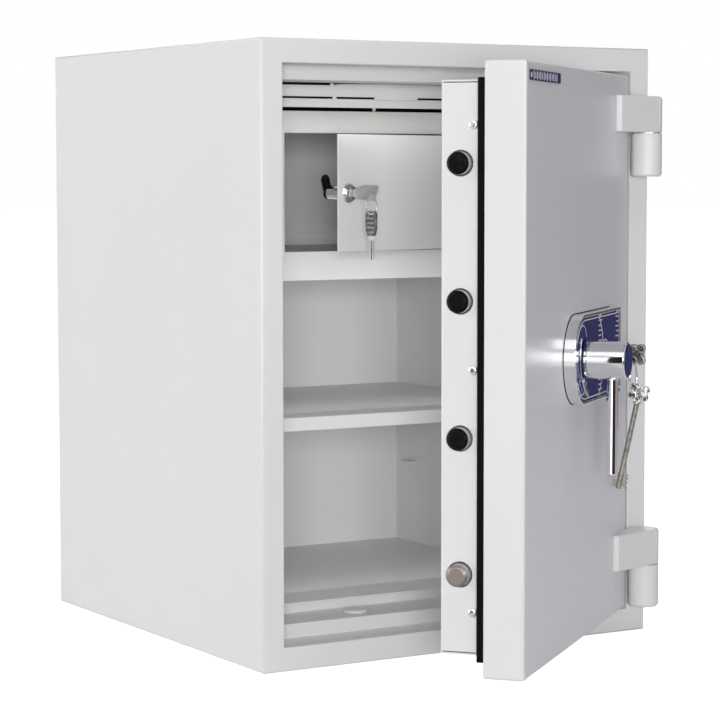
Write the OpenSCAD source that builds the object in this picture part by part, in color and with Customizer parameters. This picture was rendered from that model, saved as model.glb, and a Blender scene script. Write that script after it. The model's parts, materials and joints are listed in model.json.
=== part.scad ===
// Fire-resistant key-lock safe: a double-walled body with a stepped door frame, a swung door
// with rack-driven locking bolts, one shelf and a small lockable upper compartment.
// Millimetres. +Z is up, the front faces -Y and +X is to the right as seen from the front.
// Door pieces are drawn shut and then swung open about their hinge axis.
// Depths are counted back from the front plane of the body, and stand-offs forward from it.

/* [Body] */
// Outside width
body_w = 490; // [470:1:540]
// Outside depth
body_d = 509; // [490:1:560]
// Outside height
body_h = 650; // [645:1:700]
// Thickness of the outer sheet
shell_t = 3; // [2:0.5:4]
// Width of the front border round the door opening
border = 25.5; // [24:0.5:28]
// Radius of the outside edges
edge_r = 3; // [1.5:0.5:5]
// Side distance of the two floor anchors from the middle
anchor_x = 93; // [80:1:120]
// Diameter of the floor anchor holes
anchor_d = 13; // [10:0.5:14]
// Diameter of the caps over the floor anchor holes
anchor_cap_d = 27; // [26:0.5:30]

/* [Door frame] */
// Depth of the rebate that takes the door slab
rebate_depth = 42; // [40:0.5:48]
// Depth of the stepped frame
frame_depth = 100; // [96:1:108]
// Thickness of the frame sheet
frame_t = 3; // [2:0.5:3.5]
// Step of the frame on the lock side
step_lock = 4; // [3.5:0.5:6]
// Step of the frame on the hinge side
step_hinge = 12; // [10:0.5:13]
// Step of the frame at the top and the bottom
step_end = 15; // [13:0.5:16]
// Open joint between the frame and the collar at the top
collar_gap = 2.5; // [1.5:0.5:4]
// Side distance of the tack welds on the collar from the middle
weld_x = 104; // [80:1:110]
// Depth of the channels behind the bolt holes
keeper_depth = 16; // [15:0.5:18]

/* [Interior] */
// Thickness of a side wall, outer sheet to liner
side_wall = 50; // [49:0.5:55]
// Height of the inside floor over the ground
floor_z = 50.8; // [48:0.2:56]
// Thickness of the roof, outer sheet to liner
roof = 59.1; // [58:0.1:62]
// Thickness of the rear wall, outer sheet to liner
rear_wall = 58.5; // [50:0.5:70]
// Thickness of the liner sheet
liner_t = 2; // [1.5:0.5:2.5]
// Height of the turned-down lip at the front of the ceiling
lip_h = 7.5; // [6:0.5:9]
// Height of the top of the shelf
shelf_z = 249.5; // [200:0.5:300]
// Depth of the front edge of the shelf
shelf_front = 114.5; // [112:0.5:160]
// Height of the folded front edge of the shelf
shelf_edge = 14.7; // [12:0.1:20]
// Thickness of the shelf and the upper compartment sheet
sheet_t = 2; // [1.5:0.5:2.5]
// Width of one shelf tab
tab_w = 19.5; // [14:0.5:26]
// Distance from the shelf tabs in use down to the spare row
tab_row = 88.5; // [60:0.5:100]

/* [Door] */
// Thickness of the door slab
door_t = 41; // [38:0.5:41]
// Gap at the sides of the door slab
door_gap = 4; // [3.8:0.1:5]
// Gap over and under the door slab
door_end_gap = 5.5; // [3:0.5:7]
// Thickness of the door sheet
door_sheet = 2; // [1.5:0.5:2.5]
// Inset of the inner cover from the edges of the slab at the sides
cover_inset = 20; // [19:0.5:24]
// Inset of the inner cover from the top and bottom edges of the slab
cover_end_inset = 18; // [17:0.5:22]
// Depth of the rear face of the inner cover
cover_back = 89.5; // [89:0.5:93]
// Thickness of the fire seal behind the slab
seal_t = 10; // [8:0.5:10]
// Length of the badge
badge_w = 115; // [80:1:140]
// Height of the badge
badge_h = 10; // [8:0.5:13]
// Angle at which the door stands open
door_open = 40.2; // [0:0.1:120]

/* [Hinges] */
// Side distance of the hinge axis from the middle of the body
hinge_x = 229; // [229:0.5:229.5]
// Stand-off of the hinge axis from the front plane
hinge_off = 17.5; // [17.5:0.1:18.5]
// Radius of the hinge barrels
barrel_r = 17; // [14:0.5:17]
// Diameter of the hinge pins
hinge_pin_d = 12; // [8:0.5:14]
// Height of the lower end of the lower hinge
hinge_z = 31; // [26:0.5:40]
// Distance from the lower end of the upper hinge to the top of the body
hinge_top = 141; // [135:1:159]
// Height of one fixed barrel
barrel_h = 47.5; // [40:0.5:52]
// Height of one strap
strap_h = 39.2; // [30:0.1:44]
// Reach of the strap across the door, from the hinge axis
strap_reach = 73.5; // [60:0.5:90]
// Thickness of the strap at its free end
strap_t = 6.7; // [5:0.1:9]

/* [Locking bolts] */
// Number of locking bolts
bolt_count = 4; // [3:1:4]
// Distance from one bolt to the next
bolt_pitch = 131.7; // [120:0.1:134]
// Diameter of the bolts
bolt_d = 22; // [18:0.5:23]
// Depth of the bolt axes
bolt_depth = 70; // [69:0.5:71]
// How far the withdrawn bolts stand out of the inner cover
bolt_proud = 12; // [6:0.5:12]
// Travel of the bolts for a quarter turn of the handle
bolt_throw = 20; // [16:0.5:20]
// Bevel on the end of a bolt
bolt_bevel = 3; // [2:0.5:4]
// Number of fixed dogs on the hinge side
dog_count = 4; // [2:2:4]
// Diameter of the fixed dogs
dog_d = 20; // [16:0.5:21]
// Number of teeth on the pinion
pinion_teeth = 18; // [18:1:24]
// Free play between the teeth
backlash = 0.3; // [0.2:0.05:0.5]

/* [Handle and lock] */
// Side distance of the handle axis from the middle of the door
handle_x = -26.5; // [-32:0.5:-20]
// Height of the handle and key axes over the lower edge of the slab
handle_z = 293.8; // [285:0.1:303]
// Distance from the handle axis to the key axis
key_pitch = 87.5; // [84:0.5:95]
// Radius of the round end of the handle plate
plate_r = 45.6; // [42:0.1:50]
// Distance from the handle axis to the square end of the handle plate
plate_reach = 156.5; // [140:0.5:170]
// Thickness of the handle plate
plate_t = 12.5; // [10:0.5:14]
// Width of the bright rim of the handle plate
rim_w = 3.2; // [2:0.1:5]
// Diameter of the handle hub
hub_d = 38; // [34:0.5:44]
// Stand-off of the end of the handle hub
hub_off = 56; // [52:0.5:62]
// Diameter of the lever
lever_d = 12; // [10:0.5:14]
// Length of the lever from the handle axis
lever_len = 116; // [90:1:140]
// Stand-off of the lever axis
lever_off = 40; // [36:0.5:42]
// Diameter of the spindle
spindle_d = 12; // [10:0.5:14]
// Diameter of the shank of the main keys
shank_d = 5.5; // [4:0.5:6]
// Height of the key bit across both wings
bit_span = 16; // [13:0.5:17]
// Travel of the lock bolt for a quarter turn of the key
lock_throw = 10; // [8:0.5:11]
// Outside diameter of the main key ring
ring_d = 35.5; // [32:0.5:38]
// Lean of the hanging main key
spare_lean = 12; // [4:0.5:14]

/* [Upper compartment] */
// Depth of the front of the upper compartment
locker_front_depth = 218.5; // [217:0.5:240]
// Gap between the ceiling and the front of the upper compartment
locker_gap = 8.1; // [7:0.1:12]
// Height of the header over its opening
locker_header = 24.8; // [20:0.1:30]
// Height of its opening
locker_open_h = 133; // [128:0.5:145]
// Height of the flange under its opening
locker_flange = 32.6; // [27:0.1:40]
// Width of the small door
small_w = 283.5; // [240:0.5:290]
// Depth of the folded edges of the small door
small_fold = 13.5; // [11:0.5:16]
// Angle at which the small door stands ajar
small_open = 18.6; // [0:0.1:20]
// Diameter of the small door's pins
small_pin_d = 5; // [4:0.5:6]
// Distance of the small lock from the free edge of the small door
small_lock_x = 17; // [16:0.5:24]
// Diameter of the small lock's flange
small_flange_d = 22; // [20:0.5:24]
// Diameter of the small lock's plug
small_plug_d = 11; // [9:0.5:12]
// Outside diameter of the small key ring
small_ring_d = 19.5; // [18:0.5:24]

/* [Hidden] */
$fn = 64;

// Clearances
fit = 0.3;
run = 0.05;
eps = 1;

// Planes of the body
half_w = body_w / 2;
front_y = -body_d / 2;
open_x = half_w - border;
open_lo = border;
open_hi = body_h - border;
throat_left = -open_x + step_lock;
throat_right = open_x - step_hinge;
throat_lo = open_lo + step_end;
throat_hi = open_hi - step_end;
liner_x = half_w - side_wall;
ceiling_z = body_h - roof;
liner_back = body_d / 2 - rear_wall;
collar_t = 2;
collar_side_t = 12;
liner_joint = 3.2;
weld_w = 6;
liner_weld_x = weld_x - 4;
locker_weld_x = 22;

// Shelf and its tabs
shelf_lip = 8;
tab_reach = 12;
tab_drop = 9;
tab_front = 30;
tab_back = 38;

// Planes of the door
slab_x = open_x - door_gap;
slab_lo = open_lo + door_end_gap;
slab_hi = open_hi - door_end_gap;
mid_z = (slab_lo + slab_hi) / 2;
cover_x = slab_x - cover_inset;
cover_lo = slab_lo + cover_end_inset + 0.5;
cover_hi = slab_hi - cover_end_inset + 0.5;
cover_front = door_t + seal_t;
plate_t_in = 3;
seal_margin = 7.5;
screw_depth = cover_front + 6;
screw_end = 42;
screw_pitch = (cover_hi - cover_lo) / 2 - screw_end;
lug_half = 12;
badge_side = 10;
badge_top = 8.7;
hinge_pitch = body_h - hinge_z - hinge_top;

// Bolt work
bolt_gap = 1.65;
pocket_gap = 2;
dog_gap = 3.5;
dog_proud = 22;
dog_pitch = bolt_pitch;
dog_stem_r = 6;
guide_t = 6;
guide_in = 10;
guide_foot = 12;
guide_end = 24;
guide_rise = 15;
carriage_d = 16;
carriage_w = 12;
arm_t = 6;
stud_r = 4;
stud_share = 0.5825;
bolt_shank = 57.5;
carriage_x = -cover_x - bolt_proud + bolt_shank;
pitch_r = bolt_throw / (PI / 2);
gear_module = 2 * pitch_r / pinion_teeth;
base_r = pitch_r * cos(20);
tip_r = pitch_r + gear_module;
root_r = pitch_r - 1.25 * gear_module;
pinion_w = 11;
hub_z = slab_lo + handle_z;
rack_z = hub_z - pitch_r;
key_x = handle_x + key_pitch;
key_z = hub_z;

// Lock case and its bolt
case_x = [key_x - 26, key_x + 24];
case_z = [key_z - 26, key_z + 34];
case_wall = 2;
tongue_w = 12;
lock_bolt_t = 4;
case_depth = [door_t + plate_t_in, bolt_depth + lock_bolt_t / 2 + fit + case_wall];
bit_depth = [door_t + 8, door_t + 24.5];
lock_arm_top = case_z[0] - 8;
lock_arm_low = lock_arm_top - 16;

// Handle
cap_r = hub_d / 2 - 2.2;
lever_tip = 1.2;

// Keys: the bow has four lobes, each with an opening
bow_off = 46;
bow_lobe = [4.1, 6];
bow_lobe_r = 4.8;
bow_hole_r = 2.9;
bow_end = 9.5;
key_t = 3;
key_length = 94;
wire_r = 1;
ring_r = ring_d / 2 - wire_r;
ring_off = bow_off - bow_lobe[0];
ring_top_z = key_z - bow_lobe[1] - bow_hole_r + wire_r + fit;
ring_low_z = ring_top_z - 2 * ring_r;

// Upper compartment
locker_top = ceiling_z - locker_gap;
locker_open_top = locker_top - locker_header;
locker_open_low = locker_open_top - locker_open_h;
locker_low = locker_open_low - locker_flange;
locker_y = front_y + locker_front_depth;
pin_inset = 5;
jamb = 3.5;
small_right = liner_x - jamb - 2.5;
small_left = small_right - small_w;
small_pin_x = small_right - pin_inset;
small_pin_y = locker_y + pin_inset;
small_lo = locker_open_low + 1.8;
small_hi = locker_open_top - 2.3;
small_key_x = small_left + small_lock_x;
small_key_z = (small_lo + small_hi) / 2;
small_barrel_r = small_plug_d / 2 + 2.5;
small_barrel_y = locker_y + 26;
cam_y = [small_barrel_y + 2.5, small_barrel_y + 5];
cam_reach = small_lock_x - 2;
cam_lean = 18;
catch_fold = 26;
small_bow_off = 33;
small_hole_drop = 3.6;
small_wire_r = 0.7;
small_ring_r = small_ring_d / 2 - small_wire_r;
small_hole_r = 2.6;
small_ring_z = small_key_z - small_hole_drop - small_hole_r + small_wire_r + fit;

painted = [0.84, 0.84, 0.84];
steel = [0.72, 0.73, 0.75];
dark = [0.12, 0.12, 0.13];
navy = [0.10, 0.10, 0.30];

// Turns a depth behind the front plane into a Y position
function at(depth) = front_y + depth;

module bar(x, y, z) {
    translate([x[0], y[0], z[0]]) cube([x[1] - x[0], y[1] - y[0], z[1] - z[0]]);
}

module rod_x(x, y, z, r) {
    translate([x[0], y, z]) rotate([0, 90, 0]) cylinder(r = r, h = x[1] - x[0]);
}

module rod_y(x, y, z, r) {
    translate([x, y[0], z]) rotate([-90, 0, 0]) cylinder(r = r, h = y[1] - y[0]);
}

module rod_z(x, y, z, r) {
    translate([x, y, z[0]]) cylinder(r = r, h = z[1] - z[0]);
}

// Rectangle with true round corners
module rounded_sheet(x, y, r) {
    translate([x[0] + r, y[0]]) square([x[1] - x[0] - 2 * r, y[1] - y[0]]);
    translate([x[0], y[0] + r]) square([x[1] - x[0], y[1] - y[0] - 2 * r]);
    for (cx = [x[0] + r, x[1] - r], cy = [y[0] + r, y[1] - r]) translate([cx, cy]) circle(r);
}

// Block with rounded edges, from its three outlines
module rounded_block(x, y, z, r) {
    intersection() {
        translate([0, 0, z[0]]) linear_extrude(z[1] - z[0]) rounded_sheet(x, y, r);
        translate([0, y[1], 0]) rotate([90, 0, 0])
            linear_extrude(y[1] - y[0]) rounded_sheet(x, z, r);
        translate([x[0], 0, 0]) rotate([90, 0, 90])
            linear_extrude(x[1] - x[0]) rounded_sheet(y, z, r);
    }
}

// Front outline in X and Z, raised from one stand-off to another
module raised(off) {
    translate([0, at(-off[0]), 0]) rotate([90, 0, 0]) linear_extrude(off[1] - off[0]) children();
}

// Shape drawn along +Z, pointing out of the door from a stand-off
module facing_out(x, z, off) {
    translate([x, at(-off), z]) rotate([90, 0, 0]) children();
}

// Swings what is drawn shut about the door's hinge axis
module on_door() {
    translate([hinge_x, at(-hinge_off), 0]) rotate([0, 0, door_open])
        translate([-hinge_x, -at(-hinge_off), 0]) children();
}

// Swings what is drawn shut about the small door's pins
module on_small_door() {
    translate([small_pin_x, small_pin_y, 0]) rotate([0, 0, small_open])
        translate([-small_pin_x, -small_pin_y, 0]) children();
}

function bolt_heights() = [for (i = [0:bolt_count - 1]) mid_z + (i - (bolt_count - 1) / 2) * bolt_pitch];
function dog_heights() = [for (i = [0:dog_count - 1]) mid_z + (i - (dog_count - 1) / 2) * dog_pitch];
function anchor_y() = at((rebate_depth + frame_depth) / 2);

module anchor_drill(z, r) {
    for (x = [-anchor_x, anchor_x]) rod_z(x, anchor_y(), z, r);
}

module outer_shell() {
    color(painted) difference() {
        rounded_block([-half_w, half_w], [front_y, -front_y], [0, body_h], edge_r);
        bar([-half_w + shell_t, half_w - shell_t], [at(shell_t), -front_y - shell_t],
            [shell_t, body_h - shell_t]);
        bar([-open_x, open_x], [front_y - eps, at(shell_t + eps)], [open_lo, open_hi]);
        anchor_drill([-eps, shell_t + eps], anchor_d / 2);
    }
}

// Outline of the stepped frame: the rebate and the narrower throat behind it
module frame_form(grow, rebate_y, throat_y) {
    bar([-open_x - grow, open_x + grow], rebate_y, [open_lo - grow, open_hi + grow]);
    bar([throat_left - grow, throat_right + grow], throat_y, [throat_lo - grow, throat_hi + grow]);
}

module door_frame() {
    color(painted) difference() {
        frame_form(frame_t, [at(shell_t), at(rebate_depth + frame_t)],
                   [at(rebate_depth + frame_t), at(frame_depth)]);
        frame_form(0, [at(-eps), at(rebate_depth)], [at(rebate_depth - eps), at(frame_depth + eps)]);
        for (z = bolt_heights()) rod_x([-open_x - frame_t, throat_left + eps], at(bolt_depth), z,
                                      bolt_d / 2 + pocket_gap);
        for (z = dog_heights()) rod_x([throat_right - eps, open_x], at(bolt_depth), z,
                                     dog_d / 2 + dog_gap);
        anchor_drill([throat_lo - frame_t - eps, throat_lo + eps], anchor_d / 2 + 4.5);
    }
}

module throat_collar() {
    color(painted) difference() {
        bar([throat_left - frame_t, throat_right + frame_t],
            [at(frame_depth), at(frame_depth + collar_t)],
            [throat_lo - frame_t, throat_hi - collar_gap]);
        bar([-liner_x - liner_t, liner_x + liner_t],
            [at(frame_depth - eps), at(frame_depth + collar_t + eps)],
            [floor_z - liner_t, ceiling_z + liner_t + liner_joint]);
    }
}

module liner_form(grow, y) {
    bar([-liner_x - grow, liner_x + grow], y, [floor_z - grow, ceiling_z + grow]);
}

module inner_liner() {
    lip_y = at(frame_depth + 4);
    color(painted) difference() {
        liner_form(liner_t, [at(frame_depth), liner_back + liner_t]);
        liner_form(0, [lip_y + liner_t, liner_back]);
        bar([-liner_x, liner_x], [at(frame_depth - eps), lip_y + liner_t + eps],
            [floor_z, ceiling_z - lip_h]);
        bar([-liner_x, liner_x], [at(frame_depth - eps), lip_y],
            [floor_z, ceiling_z + liner_t + eps]);
    }
}

// Cast filling between the outer sheet and everything inside it
module insulation_fill() {
    slot_y = at(frame_depth + collar_side_t);
    color([0.55, 0.55, 0.53]) difference() {
        bar([-half_w + shell_t, half_w - shell_t], [at(shell_t), -front_y - shell_t],
            [shell_t, body_h - shell_t]);
        frame_form(frame_t, [at(0), at(rebate_depth + frame_t)], [at(0), slot_y]);
        liner_form(liner_t, [at(0), liner_back + liner_t]);
        keeper_block(bolt_keeper_x(), bolt_d / 2 + pocket_gap, bolt_heights(), 0);
        keeper_block(dog_keeper_x(), dog_d / 2 + dog_gap, dog_heights(), 0);
        anchor_drill([0, throat_lo], anchor_d / 2 + 3.5);
    }
}

function bolt_keeper_x() = [throat_left - frame_t - keeper_depth, throat_left - frame_t];
function dog_keeper_x() = [throat_right + frame_t, throat_right + frame_t + keeper_depth];

module keeper_block(x, r, heights, inset) {
    bar([x[0], x[1]], [at(bolt_depth) - r - 4 + inset, at(bolt_depth) + r + 4 - inset],
        [min(heights) - r - 10 + inset, max(heights) + r + 10 - inset]);
}

// Folded channel that keeps the filling out of the bolt holes
module bolt_keeper() {
    x = bolt_keeper_x();
    color(steel) difference() {
        keeper_block(x, bolt_d / 2 + pocket_gap, bolt_heights(), 0);
        keeper_block([x[0] + 2, x[1] + eps], bolt_d / 2 + pocket_gap, bolt_heights(), 2);
    }
}

module dog_keeper() {
    x = dog_keeper_x();
    color(steel) difference() {
        keeper_block(x, dog_d / 2 + dog_gap, dog_heights(), 0);
        keeper_block([x[0] - eps, x[1] - 2], dog_d / 2 + dog_gap, dog_heights(), 2);
    }
}

module tack(x, y, z) {
    bar([x - weld_w / 2, x + weld_w / 2], y, z);
}

// Short welds across the three open joints over the inside
module tack_welds() {
    liner_top = ceiling_z + liner_t;
    color(steel) {
        for (x = [-weld_x, weld_x])
            tack(x, [at(frame_depth - 1.5), at(frame_depth)], [throat_hi - collar_gap - 1.2, throat_hi]);
        for (x = [-liner_weld_x, liner_weld_x])
            tack(x, [at(frame_depth), at(frame_depth + 4)], [liner_top - 1.5, liner_top + liner_joint]);
        tack(locker_weld_x, [locker_y + 1, locker_y + 3], [locker_top, ceiling_z]);
    }
}

module anchor_sleeves() {
    color(steel) difference() {
        anchor_drill([shell_t, throat_lo - frame_t], anchor_d / 2 + 3.5);
        anchor_drill([shell_t - eps, throat_lo], anchor_d / 2);
    }
}

module anchor_caps() {
    color(painted) for (x = [-anchor_x, anchor_x]) {
        rod_z(x, anchor_y(), [throat_lo, throat_lo + 1.6], anchor_cap_d / 2);
        translate([x, anchor_y(), throat_lo + 1.6])
            cylinder(r1 = anchor_cap_d / 2, r2 = anchor_cap_d / 2 - 2, h = 1.4);
        rod_z(x, anchor_y(), [throat_lo - frame_t + 0.5, throat_lo], anchor_d / 2 + 4.2);
    }
}

module shelf() {
    x = [-liner_x + fit, liner_x - fit];
    y = [at(shelf_front), liner_back - fit];
    color(painted) difference() {
        bar(x, y, [shelf_z - shelf_edge, shelf_z]);
        bar([x[0] + sheet_t, x[1] - sheet_t], [y[0] + sheet_t, y[1] - sheet_t],
            [shelf_z - shelf_edge - eps, shelf_z - sheet_t]);
        bar([x[0] - eps, x[1] + eps], [y[0] + sheet_t + shelf_lip, y[1] + eps],
            [shelf_z - shelf_edge - eps, shelf_z - shelf_lip]);
    }
    color(painted) bar([x[0] + sheet_t, x[1] - sheet_t], [y[0] + sheet_t, y[0] + sheet_t + shelf_lip],
                       [shelf_z - shelf_edge, shelf_z - shelf_edge + sheet_t]);
}

// Folded tongues on both side walls, one row under the shelf and one spare row
module shelf_tabs() {
    used_z = shelf_z - shelf_lip;
    rows_y = [at(shelf_front) + tab_front, liner_back - tab_back];
    color(painted) for (z = [used_z, used_z - tab_row], y = rows_y, side = [-1, 1]) on_side(side) {
        bar([liner_x - tab_reach, liner_x], [y - tab_w / 2, y + tab_w / 2], [z - sheet_t, z]);
        bar([liner_x - sheet_t, liner_x], [y - tab_w / 2, y + tab_w / 2], [z - tab_drop, z - sheet_t]);
    }
}

// Mirrors what is drawn on the right to the left for a side of -1
module on_side(side) {
    if (side < 0) mirror([1, 0, 0]) children();
    else children();
}

// Pressed front of the upper compartment, with its edges folded back
module locker_front() {
    x = [-liner_x + fit, liner_x - fit];
    gap_x = [small_left - 1.2, small_right + 2.5];
    fold = 14;
    color(painted) difference() {
        union() {
            bar(x, [locker_y, locker_y + sheet_t], [locker_low, locker_top]);
            bar(x, [locker_y, locker_y + fold], [locker_open_top, locker_open_top + sheet_t]);
            bar(x, [locker_y, locker_y + fold], [locker_top - sheet_t, locker_top]);
            bar(x, [locker_y, locker_y + fold], [locker_low, locker_low + sheet_t]);
            bar([gap_x[0] - sheet_t, gap_x[0]], [locker_y, locker_y + catch_fold],
                [locker_open_low, locker_open_top]);
            bar([gap_x[1], x[1]], [locker_y, locker_y + fold], [locker_open_low, locker_open_top]);
        }
        bar(gap_x, [locker_y - eps, locker_y + catch_fold], [locker_open_low, locker_open_top]);
        rod_z(small_pin_x, small_pin_y, [locker_open_top - eps, locker_open_top + sheet_t + eps],
              small_pin_d / 2);
    }
}

module locker_floor() {
    x = [-liner_x + fit, liner_x - fit];
    color(painted) difference() {
        union() {
            bar(x, [locker_y + sheet_t, liner_back - fit], [locker_open_low - sheet_t, locker_open_low]);
            bar(x, [liner_back - fit - sheet_t, liner_back - fit],
                [locker_open_low, locker_open_low + 15]);
        }
        rod_z(small_pin_x, small_pin_y, [locker_open_low - sheet_t - eps, locker_open_low + eps],
              small_pin_d / 2);
    }
}

module locker_pins() {
    color(steel) {
        rod_z(small_pin_x, small_pin_y, [locker_open_low - sheet_t - 2, small_lo + sheet_t + 3],
              small_pin_d / 2);
        rod_z(small_pin_x, small_pin_y, [small_hi - sheet_t - 3, locker_open_top + sheet_t + 2],
              small_pin_d / 2);
        rod_z(small_pin_x, small_pin_y, [locker_open_low, small_lo - fit], small_pin_d / 2 + 1.5);
    }
}

module each_hinge() {
    for (z = [hinge_z, hinge_z + hinge_pitch]) translate([0, 0, z]) children();
}

module hinge_barrels() {
    y = at(-hinge_off);
    color(painted) each_hinge() difference() {
        union() {
            rod_z(hinge_x, y, [2.5, barrel_h], barrel_r);
            translate([hinge_x, y, 0]) cylinder(r1 = barrel_r - 2.5, r2 = barrel_r, h = 2.5);
            bar([hinge_x - barrel_r / 2, hinge_x + barrel_r / 2], [y, front_y], [0, barrel_h]);
        }
        rod_z(hinge_x, y, [8, barrel_h + eps], hinge_pin_d / 2);
    }
}

module hinge_pins() {
    color(steel) each_hinge() rod_z(hinge_x, at(-hinge_off), [8, barrel_h + strap_h - 6],
                                    hinge_pin_d / 2);
}

module hinge_washers() {
    color(steel) each_hinge() difference() {
        rod_z(hinge_x, at(-hinge_off), [barrel_h, barrel_h + 1], barrel_r - 1.5);
        rod_z(hinge_x, at(-hinge_off), [barrel_h - eps, barrel_h + 2], hinge_pin_d / 2 + 0.2);
    }
}

// Plan outline of a strap: a flat leaf that runs tangent onto the knuckle
module strap_plan() {
    c = [hinge_x, at(-hinge_off)];
    tip = [hinge_x - strap_reach, at(-strap_t)];
    v = c - tip;
    reach = norm(v);
    turn = atan2(v[1], v[0]) - asin(barrel_r / reach);
    touch = tip + sqrt(reach * reach - barrel_r * barrel_r) * [cos(turn), sin(turn)];
    polygon([[tip[0], front_y], [tip[0], tip[1] + 1.5], tip + [1.5, 0], touch, c,
             c + [0, barrel_r], [slab_x, front_y]]);
}

module hinge_straps() {
    low = barrel_h + 1 + run;
    y = at(-hinge_off);
    color(painted) on_door() each_hinge() difference() {
        union() {
            translate([0, 0, low]) linear_extrude(strap_h - 2.5) strap_plan();
            translate([0, 0, low + strap_h - 2.5]) intersection() {
                linear_extrude(2.5) strap_plan();
                translate([hinge_x, y, 0])
                    cylinder(r1 = strap_reach + 12, r2 = strap_reach + 9.5, h = 2.5);
            }
            rod_z(hinge_x, y, [low, low + strap_h - 2.5], barrel_r);
            translate([hinge_x, y, low + strap_h - 2.5])
                cylinder(r1 = barrel_r, r2 = barrel_r - 2.5, h = 2.5);
        }
        rod_z(hinge_x, y, [low - eps, low + strap_h - 5], hinge_pin_d / 2 + run);
    }
}

// Holes through the slab for the spindle bushing and the key tube
module slab_drill(depth) {
    rod_y(handle_x, [at(depth[0]), at(depth[1])], hub_z, spindle_d / 2 + 3);
    rod_y(key_x, [at(depth[0]), at(depth[1])], key_z, bit_span / 2 + 2.2);
}

module door_skin() {
    color(painted) on_door() difference() {
        rounded_block([-slab_x, slab_x], [front_y, at(door_t)], [slab_lo, slab_hi], 3);
        bar([-slab_x + door_sheet, slab_x - door_sheet], [at(door_sheet), at(door_t + eps)],
            [slab_lo + door_sheet, slab_hi - door_sheet]);
        slab_drill([-eps, door_sheet + eps]);
    }
}

module slab_core(depth, grow) {
    bar([-slab_x + door_sheet + grow, slab_x - door_sheet - grow], [at(depth[0]), at(depth[1])],
        [slab_lo + door_sheet + grow, slab_hi - door_sheet - grow]);
}

module door_fill() {
    color([0.55, 0.55, 0.53]) on_door() difference() {
        slab_core([door_sheet, door_t - door_sheet], 0);
        slab_drill([0, door_t]);
    }
}

module door_back_plate() {
    color(painted) on_door() difference() {
        slab_core([door_t - door_sheet, door_t], 0);
        slab_drill([0, door_t + eps]);
    }
}

// Base plate of the bolt work, with folded lugs for the side screws
module mechanism_plate() {
    x = cover_x - 2 - fit;
    color(steel) on_door() difference() {
        union() {
            bar([-x, x], [at(door_t), at(door_t + plate_t_in)], [cover_lo + 2.3, cover_hi - 2.3]);
            for (z = screw_heights(), side = [-1, 1]) on_side(side)
                bar([x - plate_t_in, x], [at(door_t), at(screw_depth + 7)], [z - lug_half, z + lug_half]);
        }
        slab_drill([0, door_t + plate_t_in + eps]);
        for (z = screw_heights()) rod_x([-cover_x, cover_x], at(screw_depth), z, 2.5);
    }
}

function screw_heights() = [mid_z - screw_pitch, mid_z, mid_z + screw_pitch];

module fire_seal() {
    x = cover_x - 2 - run;
    color(dark) on_door() difference() {
        bar([-cover_x - seal_margin, cover_x + seal_margin], [at(door_t), at(cover_front)],
            [cover_lo - seal_margin + 2, cover_hi + 2]);
        bar([-x, x], [at(door_t - eps), at(cover_front + eps)], [cover_lo + 2.1, cover_hi - 2.1]);
    }
}

module heat_strip() {
    color([0.80, 0.77, 0.76]) on_door()
        bar([-cover_x - seal_margin, cover_x + seal_margin], [at(door_t), at(door_t + 3.5)],
            [cover_hi + 2 + run, throat_hi - 0.5]);
}

// Folded sheet cover over the bolt work: both sides and the back in one piece
module inner_cover() {
    t = 2;
    color(painted) on_door() difference() {
        translate([0, 0, cover_lo + t + fit]) linear_extrude(cover_hi - cover_lo - 2 * t - 2 * fit)
            difference() {
                rounded_sheet([-cover_x, cover_x], [at(cover_front - 6), at(cover_back)], 3);
                translate([-cover_x + t, at(cover_front - 8)])
                    square([2 * (cover_x - t), cover_back - cover_front + 8 - t]);
                translate([-cover_x - eps, at(cover_front - 8)])
                    square([2 * (cover_x + eps), 8]);
            }
        for (z = bolt_heights()) rod_x([-cover_x - eps, -cover_x + t + eps], at(bolt_depth), z,
                                      bolt_d / 2 + bolt_gap);
        for (z = dog_heights()) rod_x([cover_x - t - eps, cover_x + eps], at(bolt_depth), z,
                                     dog_d / 2 + run);
        for (z = screw_heights()) rod_x([-cover_x - eps, cover_x + eps], at(screw_depth), z, 2.5);
    }
}

module cover_end_plates() {
    color(painted) on_door() for (z = [cover_lo, cover_hi - 2])
        bar([-cover_x, cover_x], [at(cover_front), at(cover_back)], [z, z + 2]);
}

module cover_screws() {
    color(steel) on_door() for (z = screw_heights(), side = [-1, 1]) on_side(side) {
        rod_x([cover_x - 8, cover_x], at(screw_depth), z, 2.5);
        translate([cover_x, at(screw_depth), z]) rotate([0, 90, 0])
            cylinder(r1 = 4.75, r2 = 3.2, h = 2.6);
    }
}

// Upright bar with a foot on the base plate and one bore for each bolt or dog
module guide_bar(x, foot_x, heights, r) {
    z = [min(heights) - guide_end, max(heights) + guide_end];
    base = door_t + plate_t_in;
    color(steel) on_door() difference() {
        union() {
            bar(x, [at(base), at(bolt_depth + guide_rise)], z);
            bar(foot_x, [at(base), at(base + plate_t_in)], z);
        }
        for (h = heights) rod_x([x[0] - eps, x[1] + eps], at(bolt_depth), h, r);
    }
}

module bolt_guide_bar() {
    x = [-cover_x + guide_in, -cover_x + guide_in + guide_t];
    guide_bar(x, [x[0], x[1] + guide_foot], bolt_heights(), bolt_d / 2 + run);
}

module dog_bar() {
    x = [cover_x - guide_in - guide_t, cover_x - guide_in];
    guide_bar(x, [x[0] - guide_foot, x[1]], dog_heights(), dog_stem_r);
}

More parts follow.
